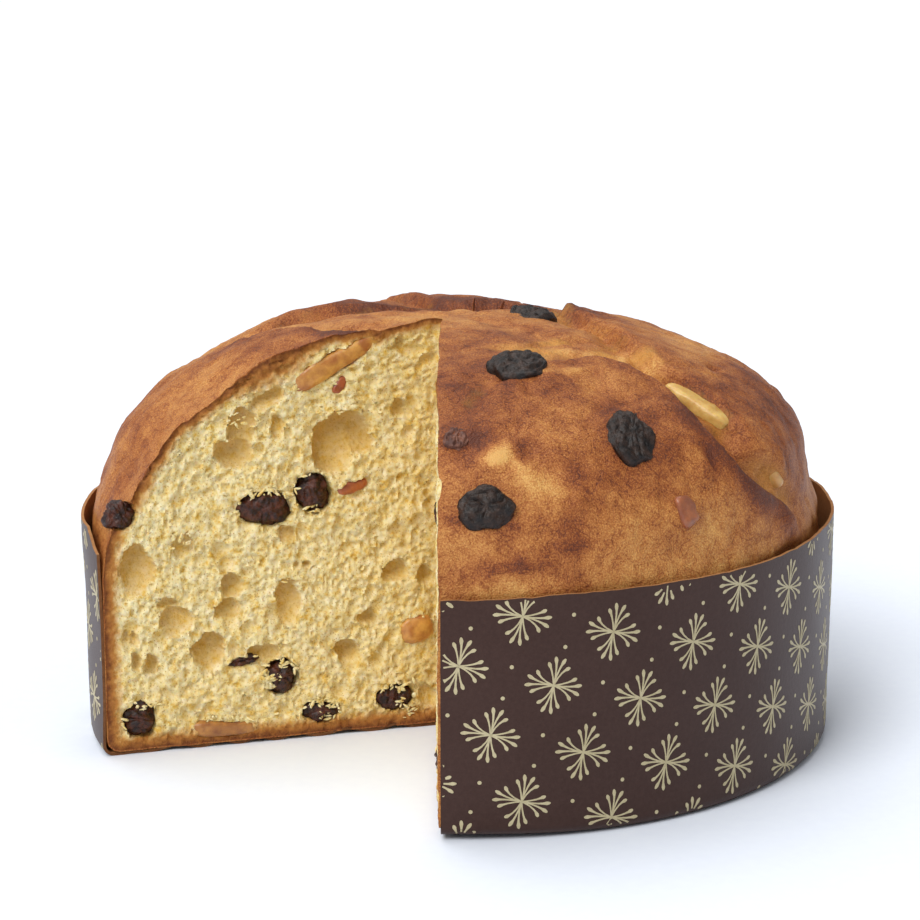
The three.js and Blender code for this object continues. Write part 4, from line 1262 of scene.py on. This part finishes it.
def make_print(proud):
    """Gold rosettes and dots on the case, each a thin raised shape bent round the wall."""
    vertices, faces = [], []
    arms = rosette_arms()
    corners = [k * 360 / DOT_CORNERS * DEG for k in range(DOT_CORNERS)]
    dot = DOT_RADIUS * np.array([(math.cos(turn), math.sin(turn)) for turn in corners])
    for i, j in product(range(TURNS_ALONG), PRINT_ROWS):
        start = FIRST_ROSETTE + i * STEP_ALONG + j * STEP_DOWN
        if not -ROSETTE_REACH < start[1] < CASE_HEIGHT + ROSETTE_REACH:
            continue
        for line in arms:
            add_arm(vertices, faces, start + line, proud)
        for share_along, share_down in DOT_PLACES:
            centre = start + share_along * STEP_ALONG + share_down * STEP_DOWN
            add_patch(vertices, faces, centre + dot, proud)
        add_patch(vertices, faces, start + CENTRE_DOT * dot, proud)
    mesh = bpy.data.meshes.new("case_print")
    mesh.from_pydata((settled(np.array(vertices)) * MM).tolist(), [], faces)
    mesh.validate()
    ornament = bpy.data.objects.new("case_print", mesh)
    bpy.context.collection.objects.link(ornament)
    face_outwards(ornament)
    return ornament


def on_paper(place, proud):
    """Point of the case's wall at a place along and up it, or None off the paper."""
    along, height = place
    turn = along / CASE_RADIUS - math.pi / 2
    below = max(FOOT_ROUND - height, 0)
    radius = CASE_RADIUS - FOOT_ROUND + math.sqrt(max(FOOT_ROUND ** 2 - below ** 2, 0)) + proud
    radius += float(wall_ripple(turn, height)) * float(smoothstep(WAVES_BEGIN, WAVES_FULL, height))
    point = np.array([radius * math.cos(turn), radius * math.sin(turn), height])
    if not PRINT_LOW <= height <= PRINT_HIGH:
        return None
    away = point - APEX
    left, front = [away @ cut_axes(side)[1] for side in CUTS]
    if min(left, front) > -PRINT_EDGE:
        return None
    beside_tear = -TORN_REACH < left < 0 and height > CASE_HEIGHT - TORN_DROP
    if beside_tear and away @ cut_axes("left")[0] > 60:
        return None
    return point


def add_arm(vertices, faces, line, proud):
    """One arm as a thin closed strip, left out past the paper's edges."""
    tangents = np.gradient(line, axis=0)
    across = np.stack([-tangents[:, 1], tangents[:, 0]], axis=1)
    across /= np.linalg.norm(across, axis=1, keepdims=True)
    stations = []
    for centre, side, half in zip(line, across, ARM_HALVES):
        corners = [on_paper(centre + side * half * s, p) for s, p in
                   ((1, proud), (-1, proud), (-1, -PRINT_DEEP), (1, -PRINT_DEEP))]
        stations.append(None if any(c is None for c in corners) else corners)
    run = []
    for station in stations + [None]:
        if station is not None:
            run.append(station)
            continue
        if len(run) > 1:
            base = len(vertices)
            for corners in run:
                vertices.extend(corners)
            for k in range(len(run) - 1):
                a, b = base + 4 * k, base + 4 * (k + 1)
                faces.extend((a + m, a + (m + 1) % 4, b + (m + 1) % 4, b + m) for m in range(4))
            last = base + 4 * (len(run) - 1)
            faces.append((base + 3, base + 2, base + 1, base))
            faces.append((last, last + 1, last + 2, last + 3))
        run = []


def add_patch(vertices, faces, outline, proud):
    """A small flat patch as a thin closed slab."""
    top = [on_paper(place, proud) for place in outline]
    low = [on_paper(place, -PRINT_DEEP) for place in outline]
    if any(point is None for point in top + low):
        return
    base, count = len(vertices), len(outline)
    vertices.extend(top + low)
    faces.append(tuple(base + k for k in range(count)))
    faces.append(tuple(base + count + k for k in reversed(range(count))))
    for k in range(count):
        after = (k + 1) % count
        faces.append((base + after, base + k, base + count + k, base + count + after))


def crust_frame(arc, azimuth, sunk):
    """Frame on the crust: X along the azimuth, Y up towards the crown, Z outwards."""
    plain = dome_points([arc], [azimuth])
    right, upward, normal = crust_axes(plain)
    return frame_matrix(right, upward, normal, crust_form(plain)[0][0] - normal * sunk)


def nudged(name, frame_here, size, turn):
    """Frame and size of a fruit of the dome after its nudge, and after its turn about the frame."""
    right, upward, outward, widen = NUDGES.get(name, (0, 0, 0, 1))
    moved = frame_here.copy()
    moved[:3, 3] += frame_here[:3, :3] @ np.array([right, upward, outward])
    return moved @ turned(turn), (size[0], size[1] * widen, size[2])


def turned(angle):
    matrix = np.eye(4)
    cosine, sine = math.cos(angle * DEG), math.sin(angle * DEG)
    matrix[0, :2], matrix[1, :2] = (cosine, -sine), (sine, cosine)
    return matrix


def fruit_list(kind):
    """Name, shape's seed, frame, size and finish of every raisin or piece of peel."""
    fruit = []
    for index, (arc, azimuth, long, wide, thick, turn, *finish) in enumerate(DOME_FRUIT[kind]):
        name = f"{kind}_dome_{index + 1}"
        frame_here = crust_frame(arc, azimuth, thick * SUNK[kind])
        frame_here, size = nudged(name, frame_here, (long, wide, thick), turn)
        fruit.append((name, index, frame_here, size, *(finish or ["baked"])))
    for side in CUTS:
        for index, (away, rise, long, thick, tilt, *finish) in enumerate(CUT_FRUIT[kind][side]):
            frame_here = cut_frame(side, away, rise, -FRUIT_SUNK * thick) @ turned(tilt)
            deep = min(long, thick) * CUT_RAISIN_DEPTH if kind == "raisin" else thick
            name, seed = f"{kind}_{side}_{index + 1}", index + FIRST_SEED[kind]
            fruit.append((name, seed, frame_here, (long, thick, deep), *(finish or ["moist"])))
    return fruit


def make_raisin(name, seed, frame_here, size, baked):
    """A dried grape: a flattened ball, folded round its edge and wrinkled all over."""
    raisin = start_mesh(bpy.ops.mesh.primitive_uv_sphere_add, name + "_skin",
                        segments=RAISIN_MESH[0], ring_count=RAISIN_MESH[1], radius=0.5)
    ball = read_points(raisin.data) * MM
    angle = np.arctan2(ball[:, 1], ball[:, 0])
    reach = 2 * np.hypot(ball[:, 0], ball[:, 1])
    fold = np.sin(3 * angle + seed) * 0.07 + np.sin(5 * angle + 9 * ball[:, 2] + 2 * seed) * 0.06
    if baked:
        ball[:, 2] = 0.5 * np.sign(ball[:, 2]) * np.abs(2 * ball[:, 2]) ** 0.7
        ball[:, :2] *= (np.maximum(reach, 1e-6) ** -0.35)[:, None]
        fold *= 0.6
    body = ball * (1 + fold * reach)[:, None] * np.array(size)
    shift = body + 40 * seed
    shift += 0.8 * np.stack([noise(shift, 3.1, n) for n in (34, 35, 36)], axis=1)
    shift[:, seed % 2] *= 1.8
    wrinkle = 0.75 * crease(shift, 2.8, 0.5, 31) + 0.4 * crease(shift, 1.4, 0.6, 32)
    dented = 0.8 * noise(body + 40 * seed, 5, 33) + 0.4 * noise(body + 40 * seed, 2.6, 37)
    outward = 2 * ball * np.array([0.3, 0.3, 1.0])
    if not baked:
        outward = 2 * ball * (1 - 0.3 * reach)[:, None]
    body -= outward * (wrinkle + dented)[:, None]
    body[:, :2] += 0.35 * ball[:, :2] * noise(body + 70 * seed, 2.5, 38)[:, None] * 2
    write_points(raisin.data, body @ frame_here[:3, :3].T + frame_here[:3, 3])
    return raisin


def make_peel(name, seed, frame_here, size):
    """A cut strip of candied peel: a rounded bar, thinner at one end and a little bowed."""
    peel = start_mesh(bpy.ops.mesh.primitive_uv_sphere_add, name + "_flesh",
                      segments=PEEL_MESH[0], ring_count=PEEL_MESH[1], radius=0.5,
                      rotation=(0, math.pi / 2, 0))
    bpy.ops.object.transform_apply(location=False, rotation=True, scale=False)
    ball = read_points(peel.data) * MM
    bar = 0.5 * np.sign(ball) * np.abs(2 * ball) ** 0.6
    taper = 1 - 0.35 * (bar[:, 0] + 0.5) * (0.6 + 0.4 * math.sin(seed))
    bow = 0.18 * (bar[:, 0] ** 2 - 0.1) * math.cos(2 * seed)
    body = np.stack([bar[:, 0], bar[:, 1] * taper + bow, bar[:, 2] * taper], axis=1) * np.array(size)
    outward = ball / 0.5
    shift = body + 30 * seed
    body += outward * (0.3 * noise(shift, 3, 41) + 0.16 * noise(shift, 1.2, 42))[:, None]
    write_points(peel.data, body @ frame_here[:3, :3].T + frame_here[:3, 3])
    return peel


def make_shreds():
    """Torn flakes of crumb round the fruit and the bubbles of the left cut."""
    template = start_mesh(bpy.ops.mesh.primitive_ico_sphere_add, "crumb_shreds", subdivisions=2, radius=1.0)
    ball = read_points(template.data) * MM
    polygons = np.array([tuple(p.vertices) for p in template.data.polygons])
    rng = np.random.default_rng(7)
    places = []
    for away, rise, long, thick, _ in CUT_FRUIT["raisin"]["left"]:
        for angle in rng.uniform(-30, 210, 5 if away < 90 else 0):
            reach = rng.uniform(0.9, 1.05)
            u, v = long / 2 * math.cos(angle * DEG) * reach, thick / 2 * math.sin(angle * DEG) * reach
            places.append((away - u, rise + v, rng.uniform(0.35, 0.9)))
    for away, rise, spread_along, spread_up, count, size in SHRED_CLUMPS:
        for u, v, grow in rng.normal(0, 1, (count, 3)):
            places.append((away + u * spread_along, rise + v * spread_up, size * (1 + 0.25 * grow)))
    along, normal = cut_axes("left")
    points, faces = [], []
    for index, (away, rise, size) in enumerate(places):
        size = max(0.3, size)
        stretch = size * np.array([rng.uniform(0.9, 2.2), rng.uniform(0.35, 0.8), rng.uniform(0.3, 0.6)])
        rough = 1 + 0.45 * noise(ball + 9.7 * index, 0.9, 51)
        turn = np.array(Matrix.Rotation(rng.uniform(0, math.pi), 3, rng.normal(0, 1, 3).tolist()))
        place = APEX + along * away + UP * rise + normal * rng.uniform(0.1, 0.7)
        faces.append(polygons + len(points) * len(ball))
        points.append((ball * rough[:, None] * stretch) @ turn.T + place)
    mesh = template.data
    mesh.clear_geometry()
    mesh.from_pydata((np.vstack(points) * MM).tolist(), [], np.vstack(faces).tolist())
    nothing = np.zeros(len(mesh.vertices))
    write_attributes(mesh, nothing + SHRED_DEPTH, *[nothing] * (len(DOUGH_ATTRIBUTES) - 1))
    return template


def colour_property(name):
    words, colour = COLOURS[name]
    return bpy.props.FloatVectorProperty(
        name=name.replace("_", " ").capitalize(), description=words, subtype="COLOR", size=4, min=0, max=1,
        default=linear(colour))


class PanettoneColours(bpy.types.PropertyGroup):
    """Colours of the loaf, its fruit, its case and the table."""
    __annotations__ = {name: colour_property(name) for name in COLOURS}


class PanettoneSizes(bpy.types.PropertyGroup):
    """Sizes that a user would change."""
    print_height: bpy.props.FloatProperty(
        name="Print height", description="How far the print stands off the paper",
        default=PRINT_HEIGHT * MM, unit="LENGTH")
    floor_size: bpy.props.FloatProperty(
        name="Floor", description="Width of the floor", default=14.0, unit="LENGTH")


def add_floor(size):
    floor = start_mesh(bpy.ops.mesh.primitive_plane_add, "floor", size=size)
    material, tree, shader, place = new_material("matt white table")
    grain = node_noise(tree, place, TABLE_GRAIN)
    tone = node_ramp(tree, grain, (0.3, "table_white"), (0.7, "table_fleck"))
    set_up(tree, shader, {"Base Color": tone, "Roughness": 0.9, "Specular IOR Level": 0.1})
    floor.data.materials.append(material)


def add_light(scene):
    """A white room, a wide lamp in front on the left and a wider one above."""
    world = scene.world or bpy.data.worlds.new("soft room")
    scene.world = world
    world.use_nodes = True
    tree = world.node_tree
    tree.nodes.clear()
    sky = add_node(tree, "ShaderNodeBackground", {"Color": "room_white", "Strength": ROOM_LIGHT})
    add_node(tree, "ShaderNodeOutputWorld", {"Surface": sky.outputs[0]})
    for name, spot, spread, power in LAMPS:
        lamp = bpy.data.lights.new(name, "SUN")
        lamp.angle = spread * DEG
        lamp.energy = power
        holder = bpy.data.objects.new(name, lamp)
        holder.location = spot
        holder.rotation_euler = Vector(spot).to_track_quat("Z", "Y").to_euler()
        scene.collection.objects.link(holder)


def add_camera(scene):
    camera = bpy.data.cameras.new("camera")
    camera.lens = CAMERA_LENS
    camera.sensor_width = CAMERA_SENSOR
    holder = bpy.data.objects.new("camera", camera)
    holder.location = CAMERA_PLACE
    holder.rotation_euler = ((90 - CAMERA_PITCH) * DEG, 0, 0)
    scene.collection.objects.link(holder)
    scene.camera = holder


class PANETTONE_OT_stage(bpy.types.Operator):
    """Adds the floor, the soft light and the camera"""
    bl_idname = "panettone.stage"
    bl_label = "Stage"

    def execute(self, context):
        scene = context.scene
        scene.view_settings.view_transform = "Standard"
        add_floor(scene.panettone_sizes.floor_size)
        add_light(scene)
        add_camera(scene)
        return {"FINISHED"}


class PANETTONE_OT_loaf(bpy.types.Operator):
    """Bakes the loaf and takes the slice out"""
    bl_idname = "panettone.loaf"
    bl_label = "Loaf"

    def execute(self, context):
        loaf = make_loaf()
        loaf.data.materials.clear()
        loaf.data.materials.append(brioche_material())
        finish_piece(loaf, ["loaf"], 60)
        return {"FINISHED"}


class PANETTONE_OT_case(bpy.types.Operator):
    """Folds the paper case and prints it"""
    bl_idname = "panettone.case"
    bl_label = "Paper case"

    def execute(self, context):
        case = make_case()
        papers = (
            ("printed baking paper", "paper_brown", "paper_fleck", 0.4),
            ("kraft baking paper", "kraft_brown", "kraft_fleck", 0.75),
            ("toasted paper edge", "edge_brown", "edge_fleck", 0.8),
        )
        for paper in papers:
            case.data.materials.append(paper_material(*paper))
        paint_case(case)
        finish_piece(case, ["paper_case"], 35)
        ornament = make_print(context.scene.panettone_sizes.print_height / MM)
        ink = paper_material("gold printing ink", "ink_gold", "ink_fleck", 0.42, 0.05)
        ornament.data.materials.append(ink)
        finish_piece(ornament, [], 30)
        return {"FINISHED"}


class PANETTONE_OT_raisins(bpy.types.Operator):
    """Sets the raisins in the crust and in the cuts"""
    bl_idname = "panettone.raisins"
    bl_label = "Raisins"

    def execute(self, context):
        skins = {
            "baked": raisin_material("burnt raisin skin", "raisin_burnt", 0.4, 0.04),
            "moist": raisin_material("moist raisin skin", "raisin_moist", 0.36, 0.1),
            "covered": raisin_material("sunken raisin", "raisin_covered", 0.5, 0.0),
        }
        for name, seed, frame_here, size, finish in fruit_list("raisin"):
            raisin = make_raisin(name, seed, frame_here, size, finish != "moist")
            raisin.data.materials.append(skins[finish])
            finish_piece(raisin, [name])
        return {"FINISHED"}


class PANETTONE_OT_peels(bpy.types.Operator):
    """Sets the candied peel in the crust and in the cuts"""
    bl_idname = "panettone.peels"
    bl_label = "Candied peel"

    def execute(self, context):
        flesh = {
            "orange": peel_material("candied orange peel", "orange"),
            "citron": peel_material("candied citron peel", "citron"),
            "peel_dome_2": peel_material("fruit under baked skin", "bump"),
            "peel_dome_3": peel_material("citron under baked skin", "baked_citron"),
            "peel_left_2": peel_material("dark candied peel", "dark_peel"),
            "peel_left_3": peel_material("red candied peel", "red_peel"),
            "peel_left_5": peel_material("syrup-soaked citron peel", "syrup_peel"),
        }
        for name, seed, frame_here, size, finish in fruit_list("peel"):
            peel = make_peel(name, seed, frame_here, size)
            peel.data.materials.append(flesh.get(name, flesh[finish]))
            finish_piece(peel, [name])
        return {"FINISHED"}


class PANETTONE_OT_shreds(bpy.types.Operator):
    """Scatters torn flakes of crumb on the left cut"""
    bl_idname = "panettone.shreds"
    bl_label = "Crumb shreds"

    def execute(self, context):
        shreds = make_shreds()
        shreds.data.materials.append(bpy.data.materials["baked sweet dough"])
        finish_piece(shreds, [])
        return {"FINISHED"}


class PANETTONE_PT_maker(bpy.types.Panel):
    """Lists the steps that make the panettone"""
    bl_label = "Panettone"
    bl_space_type = "VIEW_3D"
    bl_region_type = "UI"
    bl_category = "Panettone"

    def draw(self, context):
        for group in (context.scene.panettone_sizes, context.scene.panettone_colours):
            for name in group.__annotations__:
                self.layout.prop(group, name)
        for operator in OPERATORS:
            self.layout.operator(operator.bl_idname)


OPERATORS = (
    PANETTONE_OT_stage, PANETTONE_OT_loaf, PANETTONE_OT_case, PANETTONE_OT_raisins, PANETTONE_OT_peels,
    PANETTONE_OT_shreds,
)
CLASSES = (PanettoneSizes, PanettoneColours, *OPERATORS, PANETTONE_PT_maker)


def register():
    for entry in CLASSES:
        bpy.utils.register_class(entry)
    bpy.types.Scene.panettone_sizes = bpy.props.PointerProperty(type=PanettoneSizes)
    bpy.types.Scene.panettone_colours = bpy.props.PointerProperty(type=PanettoneColours)


def unregister():
    del bpy.types.Scene.panettone_colours
    del bpy.types.Scene.panettone_sizes
    for entry in reversed(CLASSES):
        bpy.utils.unregister_class(entry)


def main():
    register()
    bpy.ops.panettone.stage()
    bpy.ops.panettone.loaf()
    bpy.ops.panettone.case()
    bpy.ops.panettone.raisins()
    bpy.ops.panettone.peels()
    bpy.ops.panettone.shreds()


if __name__ == "__main__":
    main()
